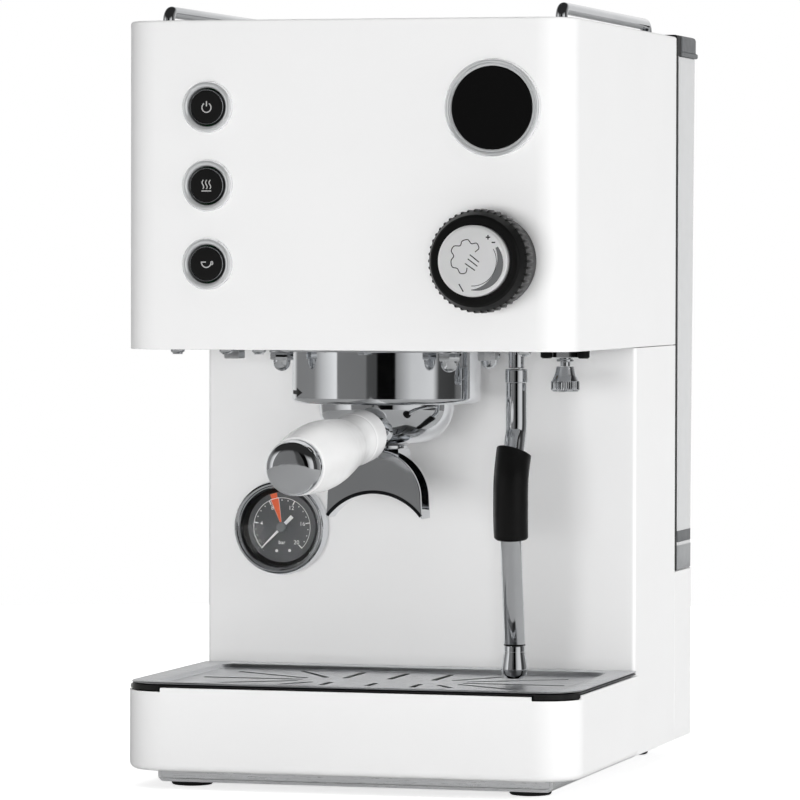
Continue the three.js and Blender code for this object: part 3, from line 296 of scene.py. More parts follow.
def finish_piece(shape, name, material, body, nodes=(), sharp=32, weighted=False):
    """Shades a shape and ties it to its body and the frame nodes that it stands for."""
    mesh = shape.data
    shape.name = name
    mesh.name = name
    mesh.materials.clear()
    mesh.materials.append(material)
    mesh.shade_smooth()
    mesh.set_sharp_from_angle(angle=math.radians(sharp))
    if weighted:
        modifier = shape.modifiers.new("flat faces lead", "WEIGHTED_NORMAL")
        modifier.keep_sharp = True
        modifier.weight = 100
    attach(shape, body)
    if nodes:
        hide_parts(*nodes)
    return shape


def piece(name, form, material, body, nodes=(), sharp=32, weighted=False):
    return finish_piece(to_object(name, form), name, material, body, nodes, sharp, weighted)


# ------------------------------------------------------------------ nodes
def add_node(tree, kind, inputs=(), **settings):
    """Adds a node with its settings; an input takes a value, a socket or a list of sockets."""
    made = tree.nodes.new(kind)
    for name, value in settings.items():
        setattr(made, name, value)
    for name, value in dict(inputs).items():
        for one in value if isinstance(value, list) else [value]:
            if isinstance(one, bpy.types.NodeSocket):
                tree.links.new(one, made.inputs[name])
            else:
                made.inputs[name].default_value = one
    return made


def linear(code):
    """A linear colour from an sRGB hex value."""
    channels = [int(code[place:place + 2], 16) / 255 for place in (1, 3, 5)]
    return (*[c / 12.92 if c <= 0.04045 else ((c + 0.055) / 1.055) ** 2.4 for c in channels], 1.0)


class Finish:
    """A material in the making: a shader whose colour, roughness and relief come from patterns."""

    def __init__(self, name, **values):
        self.material = bpy.data.materials.new(name)
        self.material.use_nodes = True
        self.tree = self.material.node_tree
        self.shader = self.tree.nodes["Principled BSDF"]
        self.place = add_node(self.tree, "ShaderNodeTexCoord").outputs["Object"]
        for socket, value in values.items():
            self.shader.inputs[socket.replace("_", " ")].default_value = value

    def noise(self, size, stretch=(1, 1, 1), detail=3.0, roughness=0.5):
        """Noise with features of a size in millimetres; stretch lengthens them along an axis."""
        scale = tuple(1 / s for s in stretch)
        spot = add_node(self.tree, "ShaderNodeMapping", {"Vector": self.place, "Scale": scale}).outputs[0]
        return add_node(self.tree, "ShaderNodeTexNoise", {
            "Vector": spot, "Scale": 1 / (size * MM), "Detail": detail, "Roughness": roughness,
        }).outputs["Fac"]

    def colour(self, factor, first, second):
        mixed = add_node(self.tree, "ShaderNodeMix", {
            0: factor, 6: linear(first), 7: linear(second),
        }, data_type="RGBA")
        self.tree.links.new(mixed.outputs[2], self.shader.inputs["Base Color"])
        return self

    def rough(self, factor, low, high):
        value = add_node(self.tree, "ShaderNodeMapRange", {
            "Value": factor, "From Min": 0.3, "From Max": 0.7, "To Min": low, "To Max": high,
        }).outputs["Result"]
        self.tree.links.new(value, self.shader.inputs["Roughness"])
        return self

    def relief(self, height, depth):
        """Bumps of a depth in millimetres."""
        bump = add_node(self.tree, "ShaderNodeBump", {
            "Height": height, "Strength": 1.0, "Distance": depth * MM,
        })
        self.tree.links.new(bump.outputs["Normal"], self.shader.inputs["Normal"])
        return self


def powder_coat(name, light, shade):
    """Sprayed and baked powder: a satin skin whose faint orange peel softens reflections."""
    finish = Finish(name, IOR=1.5)
    peel = finish.noise(1.1, detail=2.0)
    finish.colour(finish.noise(60), shade, light)
    finish.rough(finish.noise(14), 0.40, 0.48)
    return finish.relief(peel, 0.006).material


def plated_chrome(name, light="#e4e6e8", shade="#d4d6d9", low=0.035, high=0.085, metallic=1.0):
    """Polished and plated metal: near-mirror, with faint cloudy wiping marks."""
    finish = Finish(name, Metallic=metallic)
    finish.colour(finish.noise(22), shade, light)
    finish.rough(finish.noise(9, detail=4.0), low, high)
    return finish.relief(finish.noise(6), 0.0012).material


def spun_aluminium(name):
    """Turned and lightly blasted aluminium: pale and softly bright, with fine circular tool marks."""
    finish = Finish(name, Metallic=0.55)
    grain = finish.noise(0.9, detail=2.0)
    finish.colour(finish.noise(12), "#eeefef", "#f6f6f6")
    finish.rough(grain, 0.28, 0.32)
    return finish.relief(grain, 0.0006).material


def brushed_stainless(name, along, light="#c6c7c9", shade="#a9abad", depth=0.004, metallic=1.0):
    """Rolled and brushed sheet: long fine scratches that smear reflections across the grain."""
    finish = Finish(name, Metallic=metallic)
    # Real scratches are about 0.05 mm apart, drawn at 0.35 mm so that they show.
    grain = finish.noise(0.35, stretch=along, detail=4.0, roughness=0.7)
    finish.colour(grain, shade, light)
    finish.rough(grain, 0.24, 0.40)
    return finish.relief(grain, depth).material


def moulded_plastic(name, light, shade, low, high, texture=0.35, depth=0.004, **values):
    """Injection-moulded plastic: an even colour with the fine spark-eroded grain of its mould."""
    finish = Finish(name, IOR=1.5, **values)
    finish.colour(finish.noise(25), shade, light)
    finish.rough(finish.noise(5), low, high)
    return finish.relief(finish.noise(texture, detail=2.0), depth).material


def tank_plastic(name):
    """Clear moulded SAN with a smoke tint: hazy, so what lies behind it only shows faintly."""
    finish = Finish(name, IOR=1.57, Transmission_Weight=0.25)
    finish.colour(finish.noise(50), "#e9eaeb", "#eeeff0")
    finish.rough(finish.noise(12), 0.18, 0.24)
    return finish.relief(finish.noise(9), 0.001).material


def clear_glass(name):
    """Coated float glass: clear, with almost no haze and a weak reflection."""
    finish = Finish(name, IOR=1.12, Transmission_Weight=1.0)
    finish.colour(finish.noise(20), "#f6f8f8", "#ffffff")
    return finish.rough(finish.noise(6), 0.0, 0.02).material


def printed_ink(name, light, shade):
    """Screen-printed ink: matt, with a faintly mottled film."""
    finish = Finish(name, IOR=1.45)
    finish.colour(finish.noise(0.8), shade, light)
    return finish.rough(finish.noise(2), 0.45, 0.6).material


WHITE_STEEL = powder_coat("powder_coated_steel_white", "#f5f5f5", "#f2f2f2")
CHROME = plated_chrome("polished_chrome_plate")
BEZEL_CHROME = plated_chrome("polished_chrome_bezel", "#f4f5f6", "#eceeef", 0.08, 0.14, metallic=0.6)
KNOB_DISC = spun_aluminium("turned_aluminium_disc")
# Dark chrome: the knob's engraved marks, and painted shade along the spout's arch edge.
DARK_CHROME = plated_chrome("engraving_and_painted_shade_chrome", "#3c3d3f", "#2a2b2d", 0.25, 0.4)
STEEL_X = brushed_stainless("brushed_stainless_sheet", (60, 1, 1), "#e0e1e3", "#cdcfd1", 0.002)
STEEL_Y = brushed_stainless("brushed_stainless_plate", (1, 60, 1), "#d6d8da", "#c2c4c6", 0.002)
TURNED_STEEL = brushed_stainless("drawn_stainless_vessel", (1, 1, 30))
PLINTH_STEEL = brushed_stainless(
    "brushed_steel_plinth", (60, 1, 1), "#f2f3f4", "#e6e7e9", 0.002, metallic=0.7)
BRASS = plated_chrome("machined_brass", "#c8a25e", "#a8823f", 0.2, 0.35)
DULL = {"Specular_IOR_Level": 0.22}  # a weaker sheen than bare plastic
SATIN_BLACK = moulded_plastic("moulded_black_abs_satin", "#0c0c0c", "#080808", 0.4, 0.5, **DULL)
GLOSS_BLACK = moulded_plastic("moulded_black_abs_gloss", "#080808", "#050505", 0.12, 0.2, 0.5, 0.0005)
BUTTON_BLACK = moulded_plastic("moulded_black_button", "#161616", "#111111", 0.4, 0.5, **DULL)
RUBBER = moulded_plastic("moulded_black_silicone", "#0e0e0e", "#0a0a0a", 0.34, 0.44, 0.6, **DULL)
FOOT_RUBBER = moulded_plastic("moulded_black_rubber", "#161616", "#101010", 0.6, 0.75, 0.8, 0.02)
RED_SILICONE = moulded_plastic("moulded_red_silicone", "#9a3226", "#7f2419", 0.5, 0.6)
WHITE_PLASTIC = moulded_plastic("moulded_white_handle", "#f4f4f4", "#f1f1f1", 0.2, 0.26, 0.5, 0.001)
WHITE_NYLON = moulded_plastic("moulded_white_nylon", "#ecebe6", "#e2e1dc", 0.35, 0.45)
GREY_PLASTIC = moulded_plastic("moulded_grey_abs", "#66686a", "#5f6163", 0.4, 0.5)
TANK_PLASTIC = tank_plastic("moulded_smoke_san")
TANK_FOOT = moulded_plastic("moulded_grey_san_foot", "#9c9ea0", "#919395", 0.3, 0.4)
BLACK_GLASS = moulded_plastic("tinted_black_glass", "#070707", "#050505", 0.02, 0.06, 12, 0.001, **DULL)
LENS = clear_glass("clear_gauge_glass")
DIAL = printed_ink("printed_charcoal_dial", "#47484a", "#3d3e40")
WHITE_INK = printed_ink("printed_white_ink", "#f4f4f2", "#e8e8e6")
ORANGE_INK = printed_ink("printed_orange_ink", "#e2622f", "#d65524")
ICON_INK = printed_ink("printed_grey_ink", "#c4c4c4", "#b2b2b2")
CIRCUIT = moulded_plastic("solder_masked_board", "#1f5c38", "#184a2c", 0.3, 0.5)


# ------------------------------------------------------------------ camera, light and floor
def studio_camera():
    """Long lens, a little to the machine's right and a little above the middle of it."""
    yaw, down, roll = [math.radians(angle) for angle in (15.3339, 1.5959, 0.1340)]
    data = bpy.data.cameras.new("studio_camera")
    data.sensor_width = 36
    data.lens = 232.04
    data.clip_start, data.clip_end = 0.1, 50
    camera = placed("studio_camera", data)
    turn = Matrix.Rotation(yaw, 4, "Z") @ Matrix.Rotation(math.radians(90) - down, 4, "X")
    stand = Matrix.Translation((0.698436, -2.546788, 0.266222))
    camera.matrix_world = stand @ turn @ Matrix.Rotation(roll, 4, "Z")
    bpy.context.scene.camera = camera


def lamp(name, place, aim_height, size, power):
    """A soft panel aimed at the machine's middle line, which no polished surface mirrors."""
    data = bpy.data.lights.new(name, "AREA")
    data.shape = "RECTANGLE"
    data.size, data.size_y = size
    data.energy = power
    light = placed(name, data)
    light.location = place
    aim = Vector((0, 0, aim_height)) - Vector(place)
    light.rotation_euler = aim.to_track_quat("-Z", "Y").to_euler()
    light.visible_glossy = light.visible_camera = False


# What polished metal sees round the studio: (bearing from the front towards the right, brightness).
STUDIO_BANDS = [
    (-180, 0.9), (-135, 0.75), (-124, 0.24), (-84, 0.26), (-70, 0.6), (-48, 1.0), (-46.5, 0.22),
    (-10, 0.2), (-8, 0.08), (3.5, 0.07), (4.5, 0.002), (26, 0.002), (27, 0.28), (46, 0.7),
    (74, 0.8), (79, 0.35), (82, 0.07), (106, 0.05), (110, 0.16), (140, 0.3), (180, 0.9),
]


def studio_world():
    """White to the eye, soft to matt surfaces, and banded like a studio to polished ones."""
    world = bpy.data.worlds.new("studio")
    world.use_nodes = True
    bpy.context.scene.world = world
    tree = world.node_tree
    tree.nodes.clear()
    way = add_node(tree, "ShaderNodeTexCoord").outputs["Generated"]
    parts = add_node(tree, "ShaderNodeSeparateXYZ", {"Vector": way}).outputs
    front = add_node(tree, "ShaderNodeMath", {0: parts[1], 1: -1.0}, operation="MULTIPLY").outputs[0]
    bearing = add_node(tree, "ShaderNodeMath", {0: parts[0], 1: front}, operation="ARCTAN2").outputs[0]
    share = add_node(tree, "ShaderNodeMapRange", {
        "Value": bearing, "From Min": -math.pi, "From Max": math.pi,
    }).outputs["Result"]
    ramp = add_node(tree, "ShaderNodeValToRGB", {"Fac": share})
    stops = ramp.color_ramp.elements
    while len(stops) > 1:
        stops.remove(stops[0])
    stops[0].position = 0
    for number, (angle, bright) in enumerate(STUDIO_BANDS):
        stop = stops[0] if number == 0 else stops.new((angle + 180) / 360)
        stop.color = (bright, bright, bright, 1)
    height = add_node(tree, "ShaderNodeMapRange", {
        "Value": parts[2], "From Min": 0.30, "From Max": 0.55,
    }).outputs["Result"]
    ceiling = add_node(tree, "ShaderNodeMix", {
        0: height, 6: ramp.outputs["Color"], 7: (0.03, 0.03, 0.03, 1),
    }, data_type="RGBA").outputs[2]
    path = add_node(tree, "ShaderNodeLightPath").outputs
    soft = add_node(tree, "ShaderNodeMix", {
        0: path["Is Glossy Ray"], 6: (0.17, 0.17, 0.17, 1), 7: ceiling,
    }, data_type="RGBA").outputs[2]
    clear = add_node(tree, "ShaderNodeMath", {
        0: path["Is Camera Ray"], 1: path["Is Transmission Ray"],
    }, operation="MAXIMUM").outputs[0]
    seen = add_node(tree, "ShaderNodeMix", {0: clear, 6: soft, 7: (1, 1, 1, 1)}, data_type="RGBA").outputs[2]
    light = add_node(tree, "ShaderNodeBackground", {"Color": seen, "Strength": 1.0})
    add_node(tree, "ShaderNodeOutputWorld", {"Surface": light.outputs[0]})


def studio_floor():
    """A pale matt disc that brightens away from the machine until it is as white as the room."""
    material = moulded_plastic("pale_matt_floor", "#fbfbfb", "#f9f9f9", 0.85, 0.95, 3, 0.001)
    tree = material.node_tree
    shader = tree.nodes["Principled BSDF"].inputs
    spot = add_node(tree, "ShaderNodeTexCoord").outputs["Object"]
    away = add_node(tree, "ShaderNodeVectorMath", {0: spot}, operation="LENGTH").outputs["Value"]
    glow = add_node(tree, "ShaderNodeMapRange", {
        "Value": away, "From Min": 0.22, "From Max": 0.7, "To Min": 0.72, "To Max": 1.05,
    }, interpolation_type="SMOOTHSTEP").outputs["Result"]
    path = add_node(tree, "ShaderNodeLightPath").outputs
    # Polished metal sees the floor darker than the camera does: a painted darker reflection of the floor.
    shade = add_node(tree, "ShaderNodeMix", {
        0: path["Is Glossy Ray"], 6: linear("#fbfbfb"), 7: linear("#dadada"),
    }, data_type="RGBA").outputs[2]
    camera_ray = path["Is Camera Ray"]
    seen = add_node(tree, "ShaderNodeMath", {0: glow, 1: camera_ray}, operation="MULTIPLY").outputs[0]
    tree.links.new(shade, shader["Base Color"])
    tree.links.new(seen, shader["Emission Strength"])
    shader["Emission Color"].default_value = (1, 1, 1, 1)
    shader["Specular IOR Level"].default_value = 0.0
    floor = to_object("floor", loft([level(arc(0, 0, 1300, 0, 357, 119), z) for z in (0, -10)]))
    floor.data.materials.append(material)


studio_camera()
studio_world()
studio_floor()
for name, place, aim_height, size, power in (
    ("key_right", (2.0, -1.6, 1.5), 0.2, (0.9, 1.2), 5),
    ("side_right", (3.0, 0.2, 0.6), 0.2, (1.6, 1.2), 54),
    ("front", (0.2, -2.7, 0.16), 0.17, (1.6, 0.5), 45),
    ("overhead", (0, 0, 2.6), 0, (2.4, 2.4), 15),
    ("rear", (-0.9, 2.9, 0.5), 0.2, (1.6, 1.2), 30),
):
    lamp(name, place, aim_height, size, power)
bpy.context.scene.view_settings.view_transform = "Standard"


# ------------------------------------------------------------------ geometry nodes: repeated shapes
def new_tree(name, sockets):
    tree = bpy.data.node_groups.new(name, "GeometryNodeTree")
    for title, kind in sockets:
        tree.interface.new_socket(title, in_out="INPUT", socket_type=kind)
    tree.interface.new_socket("Geometry", in_out="OUTPUT", socket_type="NodeSocketGeometry")
    return tree, add_node(tree, "NodeGroupInput").outputs


def close_tree(tree, geometry, material):
    single = add_node(tree, "GeometryNodeRealizeInstances", {"Geometry": geometry}).outputs[0]
    painted = add_node(tree, "GeometryNodeSetMaterial", {"Geometry": single, "Material": material})
    add_node(tree, "NodeGroupOutput", {"Geometry": painted.outputs[0]})
    return tree


def copies_on(tree, given, points, turn):
    """Ends a tree with copies of its shape on the points, each with its own turn about Z."""
    facing = add_node(tree, "ShaderNodeCombineXYZ", {"Z": turn}).outputs[0]
    shape = add_node(tree, "GeometryNodeObjectInfo", {"Object": given["Shape"]}).outputs["Geometry"]
    copies = add_node(tree, "GeometryNodeInstanceOnPoints", {
        "Points": points, "Instance": shape, "Rotation": facing,
    })
    return close_tree(tree, copies.outputs[0], given["Material"])


def ring_tree():
    """Copies of a shape standing in a ring, each turned to face outwards."""
    tree, given = new_tree("ring_of_copies", [
        ("Copies", "NodeSocketInt"), ("Radius", "NodeSocketFloat"),
        ("Shape", "NodeSocketObject"), ("Material", "NodeSocketMaterial"),
    ])
    circle = add_node(tree, "GeometryNodeMeshCircle", {"Vertices": given["Copies"], "Radius": given["Radius"]})
    place = add_node(tree, "GeometryNodeInputPosition").outputs[0]
    parts = add_node(tree, "ShaderNodeSeparateXYZ", {"Vector": place}).outputs
    turn = add_node(tree, "ShaderNodeMath", {0: parts[1], 1: parts[0]}, operation="ARCTAN2").outputs[0]
    return copies_on(tree, given, circle.outputs[0], turn)


def spots_tree():
    """Copies of a shape on chosen spots, each with its own turn."""
    tree, given = new_tree("copies_on_spots", [
        ("Geometry", "NodeSocketGeometry"), ("Shape", "NodeSocketObject"), ("Material", "NodeSocketMaterial"),
    ])
    turn = add_node(tree, "GeometryNodeInputNamedAttribute", {"Name": "turn"}, data_type="FLOAT").outputs[0]
    return copies_on(tree, given, given["Geometry"], turn)


def slotted_tree():
    """A sheet with round-ended slots; each spot has the length and the turn of its slot."""
    tree, given = new_tree("slotted_sheet", [
        ("Geometry", "NodeSocketGeometry"), ("Outline", "NodeSocketObject"),
        ("Slot Width", "NodeSocketFloat"), ("Thickness", "NodeSocketFloat"),
        ("Lip", "NodeSocketFloat"), ("Material", "NodeSocketMaterial"),
    ])
    length, turn = [
        add_node(tree, "GeometryNodeInputNamedAttribute", {"Name": name}, data_type="FLOAT").outputs[0]
        for name in ("length", "turn")
    ]
    facing = add_node(tree, "ShaderNodeCombineXYZ", {"Z": turn}).outputs[0]
    size = add_node(tree, "ShaderNodeCombineXYZ", {"X": length, "Y": 1.0, "Z": 1.0}).outputs[0]
    strip = add_node(tree, "GeometryNodeCurvePrimitiveQuadrilateral", {
        "Width": 1.0, "Height": given["Slot Width"],
    })
    strips = add_node(tree, "GeometryNodeInstanceOnPoints", {
        "Points": given["Geometry"], "Instance": strip.outputs[0], "Rotation": facing, "Scale": size,
    })
    loops = add_node(tree, "GeometryNodeRealizeInstances", {"Geometry": strips.outputs[0]}).outputs[0]
    radius = add_node(tree, "ShaderNodeMath", {
        0: given["Slot Width"], 1: 0.49,
    }, operation="MULTIPLY").outputs[0]
    slots = add_node(tree, "GeometryNodeFilletCurve", {
        "Curve": loops, "Radius": radius, "Limit Radius": True, "Count": 5,
    }, mode="POLY").outputs[0]
    edge = add_node(tree, "GeometryNodeObjectInfo", {"Object": given["Outline"]}).outputs["Geometry"]
    outline = add_node(tree, "GeometryNodeMeshToCurve", {"Mesh": edge}).outputs[0]
    edges = add_node(tree, "GeometryNodeJoinGeometry", {0: [slots, outline]}).outputs[0]
    flat = add_node(tree, "GeometryNodeFillCurve", {"Curve": edges}, mode="TRIANGLES").outputs[0]
    sides = add_node(tree, "GeometryNodeExtrudeMesh", {
        "Mesh": flat, "Offset Scale": given["Thickness"], "Individual": False,
    }, mode="FACES").outputs[0]
    under = add_node(tree, "GeometryNodeFlipFaces", {"Mesh": flat}).outputs[0]
    whole = add_node(tree, "GeometryNodeJoinGeometry", {0: [sides, under]}).outputs[0]
    sheet = add_node(tree, "GeometryNodeMergeByDistance", {"Geometry": whole, "Distance": 1e-6}).outputs[0]
    raised = add_node(tree, "ShaderNodeCombineXYZ", {"Z": given["Thickness"]}).outputs[0]
    above = add_node(tree, "GeometryNodeTransform", {"Geometry": slots, "Translation": raised}).outputs[0]
    wire = add_node(tree, "GeometryNodeCurvePrimitiveCircle", {"Radius": given["Lip"], "Resolution": 8})
    lips = add_node(tree, "GeometryNodeCurveToMesh", {
        "Curve": above, "Profile Curve": wire.outputs[0],
    }).outputs[0]
    both = add_node(tree, "GeometryNodeJoinGeometry", {0: [sheet, lips]}).outputs[0]
    return close_tree(tree, both, given["Material"])


def grown(tree, base, values):
    """Runs a tree on a shape with the given inputs, and keeps the result as a plain mesh."""
    modifier = base.modifiers.new("grown", "NODES")
    modifier.node_group = tree
    for item in tree.interface.items_tree:
        if item.in_out == "INPUT" and item.name in values:
            modifier[item.identifier] = values[item.name]
    baked(base)
    for value in values.values():
        if isinstance(value, bpy.types.Object):
            bpy.data.objects.remove(value)
    return base


def spots_object(spots):
    """Bare points, each (x, y, z, turn in degrees, length)."""
    base = to_object("spots", Form([spot[:3] for spot in spots]))
    for title, values in (
        ("turn", [math.radians(spot[3]) for spot in spots]), ("length", [spot[4] * MM for spot in spots]),
    ):
        base.data.attributes.new(title, "FLOAT", "POINT").data.foreach_set("value", values)
    return base


RING = ring_tree()
SPOTS = spots_tree()
SLOTTED = slotted_tree()


def ring_of(name, shape, copies, radius, material, body, place):
    """A ring of copies about local Z, then put in its place."""
    made = grown(RING, to_object("ring", Form([(0, 0, 0)])), {
        "Copies": copies, "Radius": radius * MM, "Shape": to_object("one", shape), "Material": material,
    })
    made.data.transform(metres(place))
    return finish_piece(made, name, material, body)


def on_spots(name, shape, spots, material, body, place=Matrix()):
    """Copies of a shape, one for each (x, y, z, turn in degrees)."""
    made = grown(SPOTS, spots_object([(*spot, 0) for spot in spots]), {
        "Shape": to_object("one", shape), "Material": material,
    })
    made.data.transform(metres(place))
    return finish_piece(made, name, material, body)


def slotted(name, outline, spots, slot_width, thickness, lip, z, material, body, nodes):
    """A sheet with a slot for each (x, y, z, turn in degrees, length)."""
    mesh = bpy.data.meshes.new("outline")
    size = len(outline)
    mesh.from_pydata(
        [(x * MM, y * MM, 0) for x, y in outline], [(i, (i + 1) % size) for i in range(size)], [],
    )
    made = grown(SLOTTED, spots_object(spots), {
        "Outline": placed("outline", mesh), "Slot Width": slot_width * MM, "Thickness": thickness * MM,
        "Lip": lip * MM, "Material": material,
    })
    made.data.transform(Matrix.Translation((0, 0, z * MM)))
    return finish_piece(made, name, material, body, nodes)


def metres(matrix):
    """The same placing, with its shift in metres."""
    placing = matrix.copy()
    placing.translation *= MM
    return placing


def at(x, y, z, turn=Matrix()):
    return Matrix.Translation((x, y, z)) @ turn


def plug(radius, z0, z1, x=0, y=0, sides=48):
    """A closed round bar for cutting holes."""
    return lathe([(radius, z0), (radius, z1)], sides).moved(x, y)


# ------------------------------------------------------------------ covers
SHEET = 1.2  # thickness of the bent covers
head_low, head_high = span("head_cover")
FRONT = head_low.y
BUTTONS = ("power_button", "steam_button", "coffee_button")

head = to_object("head", rounded_box(head_low, head_high, front=18, back=0.6, foot=0.5, top=1.4, steps=18))
plate_low, plate_high = span("cup_plate")
head_holes = [
    rounded_box((head_low.x + SHEET, head_low.y + SHEET, head_low.z - 5),
                (head_high.x - SHEET, head_high.y + 5, head_high.z - SHEET), 16.8, 0.5, steps=18),
    rounded_box((plate_low.x + 7, plate_low.y + 7, plate_high.z - 2),
                (plate_high.x - 7, plate_high.y - 7, head_high.z + 5), 5, 5, foot=0.1, top=0.1),
]
for rail in ("cup_rail_left", "cup_rail_right"):
    low, high = span(rail)
    for leg in (low.y + 3, high.y - 3):
        head_holes.append(plug(3.3, head_high.z - 4, head_high.z + 4, (low.x + high.x) / 2, leg))
for node, radius in (*[(button, 11.3) for button in BUTTONS], ("display_ring", 22.3), ("steam_knob_grip", 4.3)):
    spot = middle(node)
    head_holes.append(plug(radius, -5, 5).turned(at(spot.x, FRONT, spot.z, TO_FRONT)))
finish_piece(carve(head, *head_holes), "head_cover_pressing", WHITE_STEEL, "housing", ["head_cover"],
             weighted=True)

low, high = span("column_cover")
column = to_object("column", rounded_box(low, high, front=2, back=0.4, foot=0.3, top=0.3))
gauge = middle("gauge_case")
carve(
    column,
    rounded_box((low.x + SHEET, low.y + SHEET, low.z - 5), (high.x - SHEET, high.y + 5, high.z + 5), 0.8, 0.5),
    plug(23.3, -5, 5).turned(at(gauge.x, low.y, gauge.z, TO_FRONT)),
)
finish_piece(column, "column_cover_pressing", WHITE_STEEL, "housing", ["column_cover"],
             weighted=True)

low, high = span("rear_housing")
inlet_low, inlet_high = span("power_inlet")
tank_low, tank_high = span("water_tank")
spigot_y = tank_low.y + 21.5  # middle of the tank's foot, where its outlet stands
rear = to_object("rear", rounded_box(low, high, front=0.5, back=10, foot=0.4, top=0.8))
carve(
    rear,
    rounded_box((low.x + SHEET, low.y - 5, low.z - 5), (high.x - SHEET, high.y - SHEET, high.z - SHEET),
                0.5, 8.8),
    plug(6.8, high.z - 4, high.z + 4, 0, spigot_y),
    rounded_box((inlet_low.x + 2, high.y - 5, inlet_low.z + 2),
                (inlet_high.x - 2, high.y + 5, inlet_high.z - 2), 0.2, 0.2),
    *[rounded_box((x - 1.5, high.y - 5, 58), (x + 1.5, high.y + 5, 84), 1.2, 1.2) for x in range(20, 93, 8)],
)
finish_piece(rear, "rear_housing_pressing", WHITE_STEEL, "housing", ["rear_housing"],
             weighted=True)

low, high = span("base_cover")
base = to_object("base", rounded_box(low, high, front=21.7, back=0.5, foot=3.8, top=0.3, steps=18))
# The tray's tabs sit in a notch at each front corner of the rim.
notches = [
    rounded_box((x0, low.y - 3, high.z - 2.1), (x1, low.y + 17.7, high.z + 4), 1, 1)
    for x0, x1 in ((-120, -95.3), (95.3, 120))
]
carve(
    base,
    rounded_box((low.x + SHEET, low.y + SHEET, low.z + SHEET), (high.x - SHEET, high.y + 5, high.z + 5),
                20.5, 0.5, foot=2.6, steps=18),
    rounded_box((low.x + 5, low.y + 5, low.z - 5), (high.x - 5, high.y + 5, low.z + 5), 16.7, 0.5, steps=18),
    *notches,
)
finish_piece(base, "base_cover_pressing", WHITE_STEEL, "housing", ["base_cover"],
             weighted=True)

low, high = span("plinth")
# The plinth is a pressed tray whose lower long edges are rounded; it runs from front to back.
wall = 1.5
profile = eased([
    (low.x, high.z), (low.x, low.z, 4), (high.x, low.z, 4), (high.x, high.z), (high.x - wall, high.z),
    (high.x - wall, low.z + wall, 2.5), (low.x + wall, low.z + wall, 2.5), (low.x + wall, high.z),
], steps=6)
tray = loft([[(x, y, z) for x, z in profile] for y in (low.y, high.y)])
for y in (low.y, high.y - wall):
    tray.plus(rounded_box((low.x + 1.6, y, low.z + 1.6), (high.x - 1.6, y + wall, high.z), 0.2, 0.2))
piece("plinth_pressing", tray, PLINTH_STEEL, "housing", ["plinth"], weighted=True)

for number in range(1, 5):
    centre = middle(f"foot_{number}")
    piece(f"foot_pad_{number}", lathe([
        (0, 0), (8.2, 0, 0.3), (9.7, 0.2, 0.3), (10.5, 0.9, 0.4), (10.5, 2.1, 0.2), (3, 2.1),
        (3, 5.3, 0.3), (0, 5.3),
    ]).moved(centre.x, centre.y), FOOT_RUBBER, "housing", [f"foot_{number}"])

# ------------------------------------------------------------------ cup plate and rails
centre_y = (plate_low.y + plate_high.y) / 2
cup_slots = []
for number in range(-4, 5):
    for start, end in ((plate_low.y + 19, centre_y - 6), (centre_y + 6, plate_high.y - 19)):
        cup_slots.append((16 * number, (start + end) / 2, 0, 90, end - start))
slotted("cup_plate_sheet", rounded_rectangle(plate_low.x, plate_high.x, plate_low.y, plate_high.y, 4, 4, 6),
        cup_slots, 4, 0.9, 0.12, plate_low.z + 0.02, STEEL_Y, "housing", ["cup_plate"])

for side in ("left", "right"):
    low, high = span(f"cup_rail_{side}")
    x, top = (low.x + high.x) / 2, high.z - 3
    legs = (low.y + 3, high.y - 3)
    line = eased([(legs[0], low.z), (legs[0], top, 5), (legs[1], top, 5), (legs[1], low.z)], steps=8)
    rail = sweep([(x, y, z) for y, z in line], 3, 24)
    for y in legs:
        washer = lathe([(3.0, 0), (4.6, 0), (4.6, 0.7, 0.4), (3.0, 0.9)], 32, looped=True)
        rail.plus(washer.moved(x, y, head_high.z))
    piece(f"cup_rail_rod_{side}", rail, CHROME, "housing", [f"cup_rail_{side}"])

# ------------------------------------------------------------------ buttons, display and steam knob
INK = 0.05  # thickness of a printed line
ENGRAVED = 0.07
ICON = 0.08


def icon_power():
    ring = ribbon(arc(0, -0.3, 2.35, 122, 418, 40), 0.55, ICON)
    return ring.plus(ribbon([(0, 0.3), (0, 2.9)], 0.55, ICON))


def icon_steam():
    """Three curls of steam over a short line."""
    steam = ribbon([(-2.5, -2.7), (2.5, -2.7)], 0.5, ICON)
    for x in (-1.8, 0, 1.8):
        curl = [(x + 0.45 * math.sin(0.75 * step), -1.7 + step / 2) for step in range(10)]
        steam.plus(ribbon(curl, 0.5, ICON))
    return steam


def icon_cup():
    bowl = arc(0, 0.9, 2.5, 180, 360, 15, tall=2.6)
    cup = ribbon([(-0.2, 0.95), (-2.8, 0.95), *bowl[1:], (2.5, 1.3)], 0.55, ICON)
    return cup.plus(ribbon(arc(2.5, 0.5, 0.9, 75, -80, 10), 0.45, ICON))


for name, icon in zip(BUTTONS, (icon_power(), icon_steam(), icon_cup())):
    spot = middle(name)
    place = at(spot.x, FRONT, spot.z, TO_FRONT)
    bead = arc(11.25, 1.0, 1.65, 0, 180, 18, tall=2.2)
    bezel = lathe([(9.6, -14), (11, -14, 0.3), (11, 0.05), (12.9, 0.05), *bead], 96, looped=True)
    piece(f"{name}_bezel_ring", bezel.turned(place), BEZEL_CHROME, "housing", [f"{name}_bezel"])
    piece(f"{name}_cap", lathe([
        (0, -15.6), (2.5, -15.6), (2.5, -10), (8.2, -10), (8.2, 2.0, 0.3), (7.7, 2.25, 0.5), (0, 2.3),
    ], 72).turned(place), BUTTON_BLACK, name, [name])
    trim = lathe([(8.22, -8), (8.6, -8), (8.6, 2.0, 0.2), (8.4, 2.4, 0.15), (8.22, 2.0)], 72, looped=True)
    piece(f"{name}_trim", trim.turned(place), CHROME, name)
    piece(f"{name}_icon", icon.moved(0, 0, 2.27).turned(place), ICON_INK, name)

